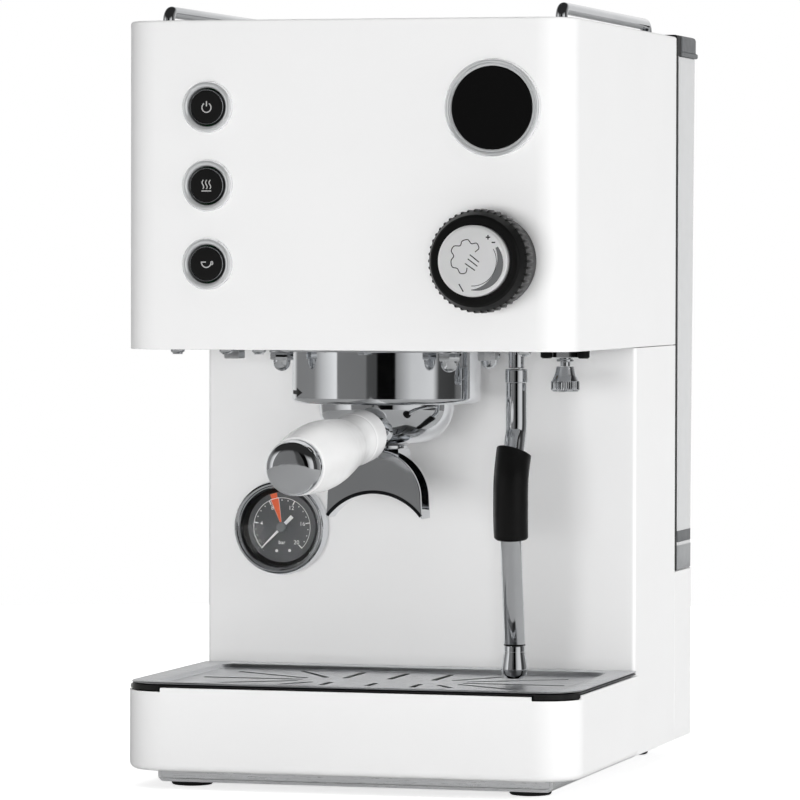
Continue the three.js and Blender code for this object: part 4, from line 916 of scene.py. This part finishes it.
spot = middle("display_ring")
place = at(spot.x, FRONT, spot.z, TO_FRONT)
piece("display_bezel_ring", lathe([
    (20.5, -9), (22, -9, 0.3), (22, 0.05), (24, 0.05), *arc(22.75, 1.2, 1.25, 0, 160, 16, tall=2.0),
    (21.4, 2.1, 0.1), (20.5, 1.9, 0.1),
], 128, looped=True).turned(place), BEZEL_CHROME, "housing", ["display_ring"])
window = lathe([(0, -9), (20.3, -9, 0.3), (20.3, 2.0, 0.3), (19.9, 2.2, 0.2), (0, 2.2)], 96)
piece("display_window", window.turned(place), BLACK_GLASS, "housing", ["display_glass"])

spot = middle("steam_knob_cap")
place = at(spot.x, FRONT, spot.z, TO_FRONT)
piece("steam_knob_body", lathe([
    (4.3, 1.2), (21.8, 1.2), (22.6, 2.0, 0.5), (22.6, 17.1, 0.3), (23.9, 17.5, 0.4), (24.45, 18.2, 0.4),
    (24.45, 28.4, 0.6), (22.3, 34.3, 1.2), (21.2, 35.0, 0.5), (17.9, 35.0, 0.3), (17.6, 34.4), (17.6, 32.0),
    (4.3, 32.0),
], 120, looped=True).turned(place), RUBBER, "steam_knob", ["steam_knob_grip"])
rib = lathe([(0, 17.6), (0.55, 17.7), (0.95, 18.5), (0.95, 27.4), (0.55, 28.8), (0.2, 29.6), (0, 29.7)], 10)
ring_of("steam_knob_ribs", rib, 46, 24.35, RUBBER, "steam_knob", place)
piece("steam_knob_disc", lathe([
    (0, 32.3), (17.2, 32.3), (17.3, 32.5, 0.1), (17.3, 38.6, 0.3), (16.8, 39.2, 0.5), (16.0, 39.42, 0.5),
    (0, 39.45),
], 128).turned(place), KNOB_DISC, "steam_knob", ["steam_knob_cap"])


def at_angle(angle, radius):
    return (radius * math.cos(math.radians(angle)), radius * math.sin(math.radians(angle)))


def scale_arc(radius):
    """A line round the right of the knob's cap."""
    return smooth_line([at_angle(a, radius) for a in range(29, -93, -11)], 4)


def knob_marks():
    """Engraved lines: the rim of the scale, a pointer, a steam cloud with jets, and plus and minus."""
    cloud = smooth_line([
        (1.4, 4.4), (3.3, 6.2), (2.2, 8.6), (-0.4, 8.4), (-2.2, 10.3), (-5.0, 9.6), (-6.0, 7.4), (-9.0, 7.2),
        (-10.4, 4.9), (-9.2, 2.4), (-10.5, 0.2), (-9.9, -2.8), (-7.4, -3.6), (-5.9, -5.9), (-3.2, -5.6),
        (-2.5, -3.2),
    ], 5)
    marks = ribbon(scale_arc(12.0), 0.3, ENGRAVED)
    for line, width in (
        ([(-6.6, -11.0), (-4.4, -14.7)], 0.55), ([(6.7, 11.5), (8.9, 11.5)], 0.6),
        ([(7.8, 10.4), (7.8, 12.6)], 0.6), ([(9.6, 9.0), (11.4, 9.0)], 0.6), (cloud, 0.45),
        ([(-1.2, 3.1), (3.4, -0.5)], 0.5), ([(-2.2, 1.1), (2.6, -2.5)], 0.5),
        ([(-3.6, -1.1), (1.4, -4.5)], 0.5),
    ):
        marks.plus(ribbon(line, width, ENGRAVED))
    return marks


crescent = ribbon(
    scale_arc(13.9), lambda share: 0.3 + 3.2 * math.sin(math.pi * min(share * 0.9 + 0.1, 1)), 0.05,
)
piece("steam_knob_scale", crescent.moved(0, 0, 39.42).turned(place), CHROME, "steam_knob")
piece("steam_knob_engraving", knob_marks().moved(0, 0, 39.41).turned(place), DARK_CHROME, "steam_knob")

# ------------------------------------------------------------------ group head and its fittings
group = middle("group_shroud")
low, high = span("group_shroud")
AXIS = at(group.x, group.y, 0)
foot_z = low.z
piece("group_shroud_skirt", lathe([
    *arc(45, foot_z + 3, 3, 0, -90, 8), (37.0, foot_z, 0.2), (36.6, foot_z + 0.5, 0.3),
    (37.0, foot_z + 1.0, 0.2), (46.3, foot_z + 1.0, 0.2), (46.6, foot_z + 1.6, 0.3), (46.6, high.z),
    (48, high.z),
], 144, looped=True).turned(AXIS), CHROME, "housing", ["group_shroud"])

# A small arrow printed on the skirt shows which way the filter holder locks.
arrow = Form()
for start, end, root, point in ((-64.0, -55.0, 1.0, 1.0), (-55.0, -46.5, 2.4, 0.05)):
    rings = []
    for step in range(9):
        angle = math.radians(start + (end - start) * step / 8 - 90)
        half = root + (point - root) * step / 8
        rings.append([(r * math.cos(angle), r * math.sin(angle), foot_z + 5.5 + z)
                      for r, z in ((47.9, -half), (48.06, -half), (48.06, half), (47.9, half))])
    arrow.plus(loft(rings))
piece("group_lock_arrow", arrow.turned(AXIS), SATIN_BLACK, "housing")

top = span("group_flange")[1].z
under = top - SHEET
flange = lathe([(48.3, top), (63, top), (63, under, 0.4), (48.3, under)], 128, looped=True)
piece("group_flange_ring", flange.turned(AXIS), STEEL_X, "housing", ["group_flange"])
acorn = prism(hexagon(10), 0, 4.4, 0.5).plus(lathe([
    (0, 4.3), (4.4, 4.3), (4.3, 5.4, 0.3), (4.2, 6.0), *arc(0, 5.8, 4.2, 0, 82, 9), (0, 10.0),
], 32)).plus(lathe([(0, -0.2), (6.4, -0.2), (6.4, 0.5, 0.2), (0, 0.5)], 32))
acorn.turned(Matrix.Rotation(math.pi, 4, "X"))
on_spots("group_acorn_nuts", acorn, [
    (-43.5, -40, 0, 15), (-43.5, 40, 0, 30), (43.5, -40, 0, 45), (43.5, 40, 0, 60),
], CHROME, "housing", at(group.x, group.y, under))

# Screws and washers that hang under the head's floor, near its front edge.
UNDERSIDE = at(0, FRONT, span("head_floor")[0].z)
pan_screw = lathe([(0, 0), (3.6, 0), (3.5, -1.6, 0.8), (2.0, -2.6, 0.8), (0, -2.7)], 32)
pan_screw.plus(prism([(-2.6, -0.35), (2.6, -0.35), (2.6, 0.35), (-2.6, 0.35)], -2.85, -2.55, 0.1))
on_spots("underside_screws", pan_screw, [
    (-90, 14, 0, 20), (-66.5, 20, 0, 65), (-50, 22, 0, 40), (3, 26, 0, 10), (88, 16, 0, 75),
], CHROME, "housing", UNDERSIDE)
hex_bolt = prism(hexagon(9), -5.2, 0, 0.5).plus(lathe([(0, -0.9), (6.2, -0.9, 0.3), (6.2, 0), (0, 0)], 32))
on_spots("underside_bolts", hex_bolt, [(-66.5, 34, 0, 12), (66, 30, 0, 24)], STEEL_X, "housing",
         UNDERSIDE)
knurled = lathe([(0, 0), (3.1, 0), (3.1, -4.2, 0.5), (2.2, -4.9, 0.4), (0, -4.9)], 20)
water = middle("hot_water_nozzle")
on_spots("water_clamp_screws", knurled, [(-9.6, 0, 0, 0), (9.4, 0, 0, 30)], SATIN_BLACK, "housing",
         at(water.x, water.y, span("head_floor")[0].z))

# ------------------------------------------------------------------ filter holder
low, high = span("filter_bowl")
foot_z, rim_z = low.z, high.z
bowl = lathe([
    (34.4, rim_z), *arc(15.4, foot_z + 19, 19, 0, -90, 20), (12, foot_z), (4, foot_z), (4, foot_z + 4),
    (12.4, foot_z + 4), *arc(12.4, foot_z + 23, 19, -90, 0, 14), (31.4, rim_z),
], 128, looped=True)
for turn in (0, math.pi):
    lug = rounded_box((33.2, -7, rim_z - 7.4), (40.4, 7, rim_z - 4), 0.8, 0.8, 0.5, 0.5)
    bowl.plus(lug.turned(Matrix.Rotation(turn, 4, "Z")))
piece("filter_holder_bowl", bowl.turned(AXIS), CHROME, "filter_holder", ["filter_bowl"])
spring = smooth_line([(19.6, -30.4, 186.9), (24.5, -27.2, 189.4), (29.2, -22.6, 190.6), (31.6, -18.9, 190.9)])
piece("filter_spring_wire", sweep(spring, 0.55, 12).turned(AXIS), CHROME, "filter_holder")
stop = lathe([(0, -1.8), *arc(0, 0, 1.8, -75, 75, 10), (0, 1.8)], 24)
piece("filter_spring_stop", stop.turned(AXIS @ at(19.0, -29.4, 186.9)), SATIN_BLACK, "filter_holder")

# The handle points forwards and a little down from its root in the bowl's wall.
HANDLE_DIP = math.radians(5.4)
HANDLE = at(0, -71.33, 176.6, Matrix.Rotation(HANDLE_DIP, 4, "X") @ TO_FRONT)
neck = loft([level(arc(0, 0, width, 0, 352.5, 47, tall=height), h) for h, width, height in (
    (-14.6, 12, 7.2), (-10, 11.7, 7.1), (-6.5, 10.6, 7.0), (-3.6, 8.9, 7.0), (-1.6, 7.6, 7.0), (-0.3, 7, 7),
)])
neck.plus(lathe([(0, -2), (5.3, -2), (5.3, 22), (0, 22)], 32))
piece("handle_neck_casting", neck.turned(HANDLE), CHROME, "filter_holder", ["handle_neck"])
side_line = smooth_line([
    (13.2, 12), (13.15, 16), (12.85, 20), (12.45, 28), (12.9, 36), (14.0, 44), (16.0, 62),
    (16.8, 76), (16.5, 90), (15.3, 104), (14.2, 115.4),
], 6)
joint = 18  # a shallow ring round the grip, near its collar
grip = lathe([
    (5.6, 0.4), (12.2, 0.1, 0.5), (13.2, 1.1, 0.8), (13.2, 10),
    *[point for point in side_line if point.y < joint - 0.5], (12.75, joint - 0.2), (12.75, joint + 0.2),
    *[point for point in side_line if point.y > joint + 0.5], (13.6, 116, 0.2), (5.6, 116),
], 96, looped=True)
piece("handle_grip_moulding", grip.turned(HANDLE), WHITE_PLASTIC, "filter_holder", ["handle_grip"])
dome = smooth_line([
    (13.5, 118.6), (13.4, 121.0), (12.7, 123.4), (11.2, 125.5), (9.2, 126.7), (6.5, 127.25), (3.5, 127.5),
    (0.4, 127.6),
], 5)
cap = lathe([(0, 112), (5.0, 112), (5.0, 116.3), (13.2, 116.3), (13.5, 116.6, 0.2), *dome, (0, 127.6)], 96)
piece("handle_end_dome", cap.turned(HANDLE), CHROME, "filter_holder", ["handle_end_cap"])

low, high = span("spout_nut")
nut = lathe([
    (4, high.z - 2.8), (10.4, high.z - 2.8), (11, high.z - 2.2, 0.5), (11, high.z - 0.4, 0.4), (4, high.z),
], 64, looped=True)
flats = prism(hexagon(20.8), low.z, high.z - 2, 0.7).turned(Matrix.Rotation(math.radians(15.5), 4, "Z"))
nut_hex = carve(to_object("hex", flats), plug(4, low.z - 2, high.z + 2))
nut_hex.data.transform(metres(AXIS))
finish_piece(nut_hex, "spout_nut_hex", CHROME, "filter_holder", ["spout_nut"], weighted=True)
piece("spout_nut_collar", nut.turned(AXIS), CHROME, "filter_holder")

# The spout is a half disc with an arch cut from its foot; it is open along the top for the coffee.
low, high = span("spout")
spout_y = (low.y + high.y) / 2
arch_z, centre_z, half_tip = 146.9, 144.1, 25.0
rise = arch_z - low.z
arch = (half_tip ** 2 + rise ** 2) / (2 * rise)
reach = math.degrees(math.asin(half_tip / arch))
outline = [*arc(0, centre_z, 24.5, 0, 180, 48), *arc(0, arch_z - arch, arch, 90 + reach, 90 - reach, 30)]
outline[0], outline[48] = (24.5, centre_z), (-24.5, centre_z)
channel = [
    *arc(0, centre_z, 28.5, -8, 188, 40), *arc(0, arch_z - arch, arch + 2.4, 94 + reach, 86 - reach, 30),
]
spout = to_object("spout_body", prism(outline, -8.5, 8.5, 0.5).turned(TO_FRONT))
carve(spout, prism(channel, -6.9, 6.9, 0.1).turned(TO_FRONT))
spout.data.transform(metres(at(group.x, spout_y, 0)))
finish_piece(spout, "double_spout_casting", CHROME, "filter_holder", ["spout"],
             sharp=28, weighted=True)
# A dark line along the front of the spout's arch is painted shade.
arch_line = arc(0, arch_z - arch, arch, 90 + reach * 0.97, 90 - reach * 0.97, 40)
bead = sweep([(x, spout_y - 8.1, z + 0.7) for x, z in arch_line], 0.95, 12)
piece("double_spout_lower_edge", bead, DARK_CHROME, "filter_holder")

# ------------------------------------------------------------------ steam wand and hot water outlet
wand = middle("wand_socket")
WAND = at(wand.x, wand.y, 0)
tube_line = [
    (0, 0, 209.7), (0, 0, 195), (0, 0, 179.7), (0, -3, 172.6), (0, -9.4, 154.6), (0, -10, 133.4),
    (0, -10, 119.4), (0, -2.4, 73.6), (0, -2.4, 70.6),
]
tube = sweep(smooth_line(tube_line, 7), 5.35, 40)
piece("wand_tube_pipe", tube.turned(WAND), CHROME, "wand", ["wand_tube"])
piece("wand_neck_ball", lathe([
    (0, 210), (3.7, 210), (4, 210.4, 0.2), (4, 219.5, 0.8), *arc(0, 226, 6.5, -50, 86, 14), (0, 232.5),
], 64).turned(WAND), CHROME, "wand", ["wand_neck"])
piece("wand_lock_nut", lathe([
    (5.35, 202.6), (5.75, 202.9, 0.2), (5.75, 209.0, 0.3), (5.3, 209.6, 0.3), (4.1, 209.6), (4.1, 203),
], 48, looped=True).turned(WAND), CHROME, "wand")

grip_points = [
    (0, -3.9, 169.6), (0, -4.8, 167), (0, -9.4, 154.6), (0, -10.2, 140), (0, -10, 129), (0, -9.6, 123.6),
]


def grip_size(share):
    """Radius along the sleeve, drawn in at both rounded ends."""
    end = min(share, 1 - share)
    return 9.1 * min(1, 0.70 + 0.30 * math.sqrt(max(0, 1 - (1 - min(end / 0.075, 1)) ** 2)))


def grip_section(angle, share):
    """A ridge down the front and a fin down the left side."""
    ridge = 0.03 * math.exp(-((math.degrees(angle) % 360 - 300) / 14) ** 2)
    fin = 0.10 * math.exp(-((math.degrees(angle) % 360 - 178) / 9) ** 2)
    return 0.93 + ridge + fin * (0.4 + 0.6 * math.sin(math.pi * share))


sleeve = sweep(smooth_line(grip_points, 14), grip_size, 64, grip_section)
for point in sleeve.points:  # the sleeve's top slants down to the right
    point.z -= 0.22 * (point.x + 4) * min(max((point.z - 155) / 13, 0), 1)
piece("wand_grip_sleeve", sleeve.turned(WAND), RUBBER, "wand", ["wand_grip"])
low, high = span("wand_tip")
tip = at(wand.x, (low.y + high.y) / 2, 0)
piece("wand_tip_nozzle", lathe([
    (0, low.z + 0.4), (1.6, low.z + 0.3, 0.2), (4.4, low.z, 1.2), (6.0, low.z + 1.8, 2),
    (6.7, low.z + 4.6, 3), (6.2, low.z + 8.4, 6),
    (5.35, low.z + 13.2, 5), (5.35, high.z - 0.5), (5.1, high.z, 0.2), (0, high.z),
], 64, steps=6).turned(tip), CHROME, "wand", ["wand_tip"])
piece("wand_tip_washer", lathe([
    (4.2, high.z - 0.1), (5.45, high.z + 0.05), (5.45, high.z + 0.55), (4.2, high.z + 0.6),
], 48, looped=True).turned(tip), SATIN_BLACK, "wand")

low, high = span("hot_water_nozzle")
WATER = at(water.x, water.y, 0)
piece("hot_water_bell", lathe([
    (1.6, low.z + 1.5), (5.4, low.z + 0.1, 0.2), (6.6, low.z, 0.2), (6.75, low.z + 0.4, 0.2),
    (6.75, low.z + 5.3, 0.3), (5.4, low.z + 8.2, 1.4),
    (4.6, high.z - 1.2, 0.8), (4.4, high.z, 0.2), (1.6, high.z),
], 72, looped=True).turned(WATER), CHROME, "housing", ["hot_water_nozzle"])
rib = lathe([(0, 0.5), (0.34, 0.7), (0.42, 1.2), (0.42, 4.4), (0.3, 5.2), (0, 5.4)], 8).moved(0, 0, low.z)
ring_of("hot_water_ribs", rib, 44, 6.75, CHROME, "housing", WATER)
union = lathe([
    (0, 211.3), (2.6, 211.3), (2.6, 213.4, 0.2), (4.4, 213.6, 0.2), (4.4, 214.6, 0.2), (3.0, 214.9), (3.0, 216),
    (2.6, 239.7), (0, 239.7),
], 40).plus(prism(hexagon(11), 215.4, 219.65, 0.5))
piece("hot_water_union", union.turned(WATER), CHROME, "housing", ["hot_water_fitting"], weighted=True)

# ------------------------------------------------------------------ pressure gauge
column_front = span("column_cover")[0].y
dial_front = column_front - span("gauge_dial")[0].y
lens_back, lens_front = [column_front - corner.y for corner in reversed(span("gauge_lens"))]
GAUGE = at(gauge.x, column_front, gauge.z, TO_FRONT)
piece("gauge_can_and_bezel", lathe([
    (0, -22), (23, -22, 0.6), (23, 0.3), (24.4, 0.3), (24.8, 0.8, 0.3), (24.8, 6.2, 0.4), (24.3, 7.2, 0.3),
    (24.6, 7.7, 0.3), (24.2, 9.2, 0.8), (23.2, 10, 0.6), (22.2, 9.8, 0.4), (21.8, 9.2, 0.2), (21.3, 9.2, 0.2),
    (20.8, 8.2, 0.2), (20.7, 0.3), (0, 0.3),
], 144).turned(GAUGE), CHROME, "housing", ["gauge_case"])
piece("gauge_dial_disc", lathe([
    (0, dial_front - 1), (20.4, dial_front - 1), (20.4, dial_front - 0.1, 0.1), (0, dial_front),
], 96).turned(GAUGE), DIAL, "housing", ["gauge_dial"])
piece("gauge_inner_ring", lathe([
    (18.3, dial_front + 0.02), (20.5, dial_front + 0.02), (20.5, dial_front + 2.6, 0.1),
    (20.0, dial_front + 2.7, 0.2),
], 96, looped=True).turned(GAUGE), SATIN_BLACK, "housing")
lens = lathe([(0, lens_back), (20.3, lens_back, 0.1), (20.3, lens_front, 0.3), (0, lens_front)], 96)
piece("gauge_lens_disc", lens.turned(GAUGE), LENS, "housing", ["gauge_lens"])


def dial_angle(value):
    """Bearing of a value from 0 to 20 on the dial, in degrees."""
    return 225 - 13.5 * value


def digits(text, size, x, y):
    """Printed figures as a closed mesh, centred on a point."""
    data = bpy.data.curves.new("figures", "FONT")
    data.body = text
    data.size = size * MM
    data.align_x = data.align_y = "CENTER"
    data.extrude = INK / 2 * MM
    data.resolution_u = 3
    shape = placed("figures", data)
    graph = bpy.context.evaluated_depsgraph_get()
    mesh = bpy.data.meshes.new_from_object(shape.evaluated_get(graph))
    form = Form([v.co / MM for v in mesh.vertices], [list(f.vertices) for f in mesh.polygons])
    bpy.data.objects.remove(shape)
    return form.moved(x, y, INK / 2)


scale = ribbon(arc(0, 0, 15.3, 225, -45, 90), 0.28, INK)
for value in range(0, 21, 4):
    scale.plus(ribbon([at_angle(dial_angle(value), 12.9), at_angle(dial_angle(value), 15.4)], 0.55, INK))
    if value:
        x, y = at_angle(dial_angle(value), 11.2)
        scale.plus(digits(str(value), 3.1, x, y))
scale.plus(digits("bar", 2.8, 0, -8.0))
for spot in ((-2.8, -12.3), (4.2, -12.1)):
    scale.plus(prism(arc(*spot, 0.8, 0, 345, 23), 0, INK, 0.01))
# The working range is an orange wedge with a white border, and an orange tab outside the scale.
tab = [at_angle(a, r) for a, r in ((99, 15.5), (99, 18.1), (111, 18.1), (111, 15.5))]
for name, outline, material, lift in (
    ("border", [at_angle(96.2, 2.0), *arc(0, 0, 15.6, 96.2, 113.8, 12), at_angle(113.8, 2.0)], WHITE_INK, 0),
    ("fill", [at_angle(97, 2.0), *arc(0, 0, 15.2, 97, 113, 12), at_angle(113, 2.0)], ORANGE_INK, 0.03),
    ("tab", tab, ORANGE_INK, 0),
):
    patch = prism(outline, 0, INK, 0.005).moved(0, 0, dial_front + lift)
    piece(f"gauge_range_{name}", patch.turned(GAUGE), material, "housing")
piece("gauge_scale_print", scale.moved(0, 0, dial_front + 0.06).turned(GAUGE), WHITE_INK, "housing")
dot = lathe([(0, 0), (0.32, 0, 0.02), (0.32, INK, 0.02), (0, INK)], 12)
on_spots("gauge_unit_dots", dot, [
    (*at_angle(dial_angle(value), 14.1), dial_front, 0) for value in range(1, 20) if value % 4
], WHITE_INK, "housing", GAUGE)
foot = dial_front + 0.3
blade = prism([
    (-8.0, -1.0), (-8.0, 1.0), (-3, 0.85), (0, 0.75), (14.8, 0.22), (14.8, -0.22), (0, -0.75), (-3, -0.85),
], foot, foot + 0.6, 0.1).turned(Matrix.Rotation(math.radians(dial_angle(0)), 4, "Z"))
hub = lathe([
    (0, foot - 2.2), (0.85, foot - 2.2), (0.85, foot), (2.7, foot), (2.7, foot + 1.6, 0.4),
    (2.2, foot + 2.0, 0.3), (0, foot + 2.0),
], 40)
piece("gauge_needle_blade", blade.turned(GAUGE), WHITE_INK, "gauge_needle", ["gauge_needle"])
piece("gauge_needle_hub", hub.turned(GAUGE), GREY_PLASTIC, "gauge_needle")

# ------------------------------------------------------------------ drip tray
def ledge(box, inset, z):
    """The tray's outline moved inwards; its corners get tighter on the way in."""
    low, high = box
    return level(rounded_rectangle(
        low.x + inset, high.x - inset, low.y + inset, high.y - inset,
        20.7 - 0.89 * inset, 0.6 + 0.45 * inset, 14,
    ), z)


cover = span("drip_cover")
top = cover[1].z
rim = loft([ledge(cover, inset, top - drop) for inset, drop in (
    (0.35, 0.8), (0, 0.55), (0, 0.25), (0.3, 0), (11.3, 0), (11.9, 0.2), (12.2, 0.7), (12.4, 1.9), (12.8, 2.4),
    (13.6, 2.5), (13.6, 3.3), (11.9, 3.3), (11.3, 2.6), (11.1, 0.8),
)], looped=True)
piece("drip_cover_rim", rim, STEEL_X, "drip_cover", ["drip_cover"], sharp=45)
# Slots from (x0, y0) to (x1, y1), measured from the middle of the tray.
runs = []
for back in (-1, 1):
    runs += [(x, back * 12, x, back * 50) for x in (-23.5, 0, 23.5)]
    for right in (-1, 1):
        runs.append((right * 33, back * 14, right * 57, back * 50))
        runs.append((right * 42, back * 8, right * 88, back * 38))
runs += [(right * 42, 0, right * 95, 0) for right in (-1, 1)]
tray_y = middle("drip_cover").y
drip_slots = [(
    (x0 + x1) / 2, tray_y + (y0 + y1) / 2, 0, math.degrees(math.atan2(y1 - y0, x1 - x0)),
    math.hypot(x1 - x0, y1 - y0),
) for x0, y0, x1, y1 in runs]
slotted("drip_cover_pan", [(x, y) for x, y, z in ledge(cover, 13.5, 0)], drip_slots, 3.4, 0.75, 0.1, top - 3.28,
        STEEL_X, "drip_cover", ())

low, high = basin_box = span("drip_basin")
floor, rim_z = low.z, high.z


def basin_ring(inset, z):
    outline = rounded_rectangle(
        -112.8 + inset, 112.8 - inset, low.y + 3.2 + inset, high.y - 4.2 - inset,
        max(17.5 - inset, 3), max(6 - inset, 3), 14,
    )
    return level(outline, z)


basin = loft([
    *[ledge(basin_box, inset, rim_z - drop) for inset, drop in ((0.6, 1.0), (0.2, 0.8), (0.2, 0.2), (0.6, 0))],
    basin_ring(2.3, rim_z), basin_ring(2.8, rim_z - 0.6),
    *[basin_ring(inset, floor + rise) for inset, rise in (
        (3.5, 6), (4.2, 3.2), (7, 2), (16, 2), (16, 0), (5, 0), (1.4, 2.5), (0.8, 6),
    )],
    basin_ring(0.3, rim_z - 1.3), basin_ring(0.0, rim_z - 1.0),
], looped=True)
basin.plus(loft([basin_ring(15.9, floor), basin_ring(15.9, floor + 1.99)]))
# A finger tab at each front corner.
tab_front, tab_back, tab_inside, tab_outside = low.y + 0.2, low.y + 16.0, 96.3, 116.0
edge_line = rounded_rectangle(-tab_outside, tab_outside, tab_front, high.y, 20.5, 0.5, 14)
for side in (-1, 1):
    corner = [(x, y) for x, y in edge_line if y <= tab_back and x * side >= tab_inside]
    corner.sort(key=lambda point: math.atan2(point[1] - tab_back - 4, point[0] * side - 92))
    outline = [
        (side * tab_inside, tab_front), *corner, (side * tab_outside, tab_back), (side * tab_inside, tab_back),
    ]
    basin.plus(loft([level(outline, z) for z in (rim_z - 2.8, rim_z - 0.6)]))
piece("drip_basin_moulding", basin, GLOSS_BLACK, "drip_tray", ["drip_basin"], sharp=40)

# ------------------------------------------------------------------ water tank, its frame and its lid
low, high = span("tank_backrest")
rest = rounded_box(low, high, 0.8, 0.8, 0.6, 0.6)
for x in (-92, -46, 0, 46, 92):
    rest.plus(rounded_box((x - 1.5, high.y - 0.6, low.z + 12), (x + 1.5, high.y - 0.05, high.z - 12),
                          0.3, 0.2, 0.2, 0.2))
piece("tank_rest_moulding", rest, SATIN_BLACK, "housing", ["tank_backrest"])

SPIGOT_LENGTH = 9.0
TANK_WALL = 2.5
tank_foot = tank_low.z + SPIGOT_LENGTH
floor = tank_foot + TANK_WALL


def tank_ring(inset, z):
    """The tank's outline at a height; it is 51 mm deep at the top and 43 mm at the foot."""
    depth = 43 + (51 - 43) * (z - tank_foot) / (tank_high.z - tank_foot)
    return level(rounded_rectangle(
        tank_low.x + inset, tank_high.x - inset, tank_low.y + inset, tank_low.y + depth - inset,
        max(2 - inset, 0.6), max(12 - inset, 4), 14,
    ), z)


# Up the outside, over the rim, down the inside to the floor, and down through the outlet.
wall = [tank_ring(inset, tank_foot + rise) for inset, rise in ((1.6, 0), (0.5, 0.4), (0.05, 1.6), (0, 3))]
wall += [tank_ring(inset, tank_high.z - drop) for inset, drop in ((0, 0.8), (0.5, 0), (2.0, 0), (2.5, 0.8))]
wall += [tank_ring(inset, floor + rise) for inset, rise in ((2.5, 3), (3.5, 0.6), (5.5, 0))]
narrow = [(x * 0.35, spigot_y + (y - spigot_y) * 0.5, z) for x, y, z in tank_ring(5.5, floor)]
bearings = [math.atan2(y - spigot_y, x) for x, y, z in narrow]
outlet = [
    [(radius * math.cos(a), spigot_y + radius * math.sin(a), z) for a in bearings]
    for radius, z in ((3.5, floor), (3.5, tank_low.z), (6, tank_low.z), (6, tank_foot))
]
piece("water_tank_moulding", loft([*wall, narrow, *outlet], looped=True), TANK_PLASTIC, "water_tank",
      ["water_tank"], sharp=45)
# A solid foot moulding wraps the bottom of the tank: the thick foot and a darker grey band above it.
for name, z0, z1, stand, material in (
    ("tank_foot_moulding", 99.4, 112.4, -0.25, TANK_FOOT),
    ("tank_water_seal", 113.8, 120.4, -0.1, GREY_PLASTIC),
):
    skirt = loft([tank_ring(inset, z) for inset, z in (
        (stand + 0.3, z0), (stand, z0 + 0.4), (stand, z1 - 0.4), (stand + 0.3, z1),
        (0.15, z1 - 0.1), (0.15, z0 + 0.1),
    )], looped=True)
    piece(name, skirt, material, "water_tank", sharp=40)

low, high = span("tank_lid_hinge")
hinge = rounded_box(low, high, 1.0, 0.8, 0.4, 1.4)
pin_y, pin_z = high.y - 2.2, high.z - 1.2
hinge.plus(sweep([(low.x + 4, pin_y, pin_z), (high.x - 4, pin_y, pin_z)], 1.0, 16))
piece("tank_hinge_block", hinge, SATIN_BLACK, "water_tank", ["tank_lid_hinge"])

low, high = span("tank_lid")
back = high.y - 7  # the lid's flange reaches 7 mm further than its top


def lid_ring(inset, z, back_y, corner):
    outline = rounded_rectangle(
        low.x + inset, high.x - inset, low.y + inset, back_y - inset, 0.8, max(corner - inset, 2), 14,
    )
    return level(outline, z)


lid = loft([
    *[lid_ring(inset, low.z + rise, high.y, 14) for inset, rise in ((0.4, 0), (0, 0.4), (0, 2.0), (0.4, 2.4))],
    lid_ring(0.05, low.z + 2.45, back + 0.3, 12), lid_ring(0, low.z + 3.0, back, 12),
    *[lid_ring(inset, high.z - drop, back, corner) for inset, drop, corner in (
        (0, 1.6, 12), (0.5, 0.5, 12), (1.6, 0, 12), (20, 0, 20), (21, 0.4, 20),
    )],
])
piece("tank_lid_moulding", lid, GREY_PLASTIC, "tank_lid", ["tank_lid"], sharp=40)

# ------------------------------------------------------------------ pieces that keep their frame shape
KEPT = {
    "head_floor": STEEL_X, "back_panel": WHITE_STEEL, "boiler": TURNED_STEEL, "control_board": CIRCUIT,
    "steam_valve": BRASS, "steam_valve_stem": TURNED_STEEL, "group_casting": CHROME,
    "group_gasket": RED_SILICONE,
    "shower_screen": STEEL_X, "filter_basket": STEEL_X, "wand_socket": BRASS, "wand_bearing": WHITE_NYLON,
    "power_inlet": SATIN_BLACK, "pump": SATIN_BLACK,
}
for node, material in KEPT.items():
    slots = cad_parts[node].data.materials
    slots.clear()
    slots.append(material)
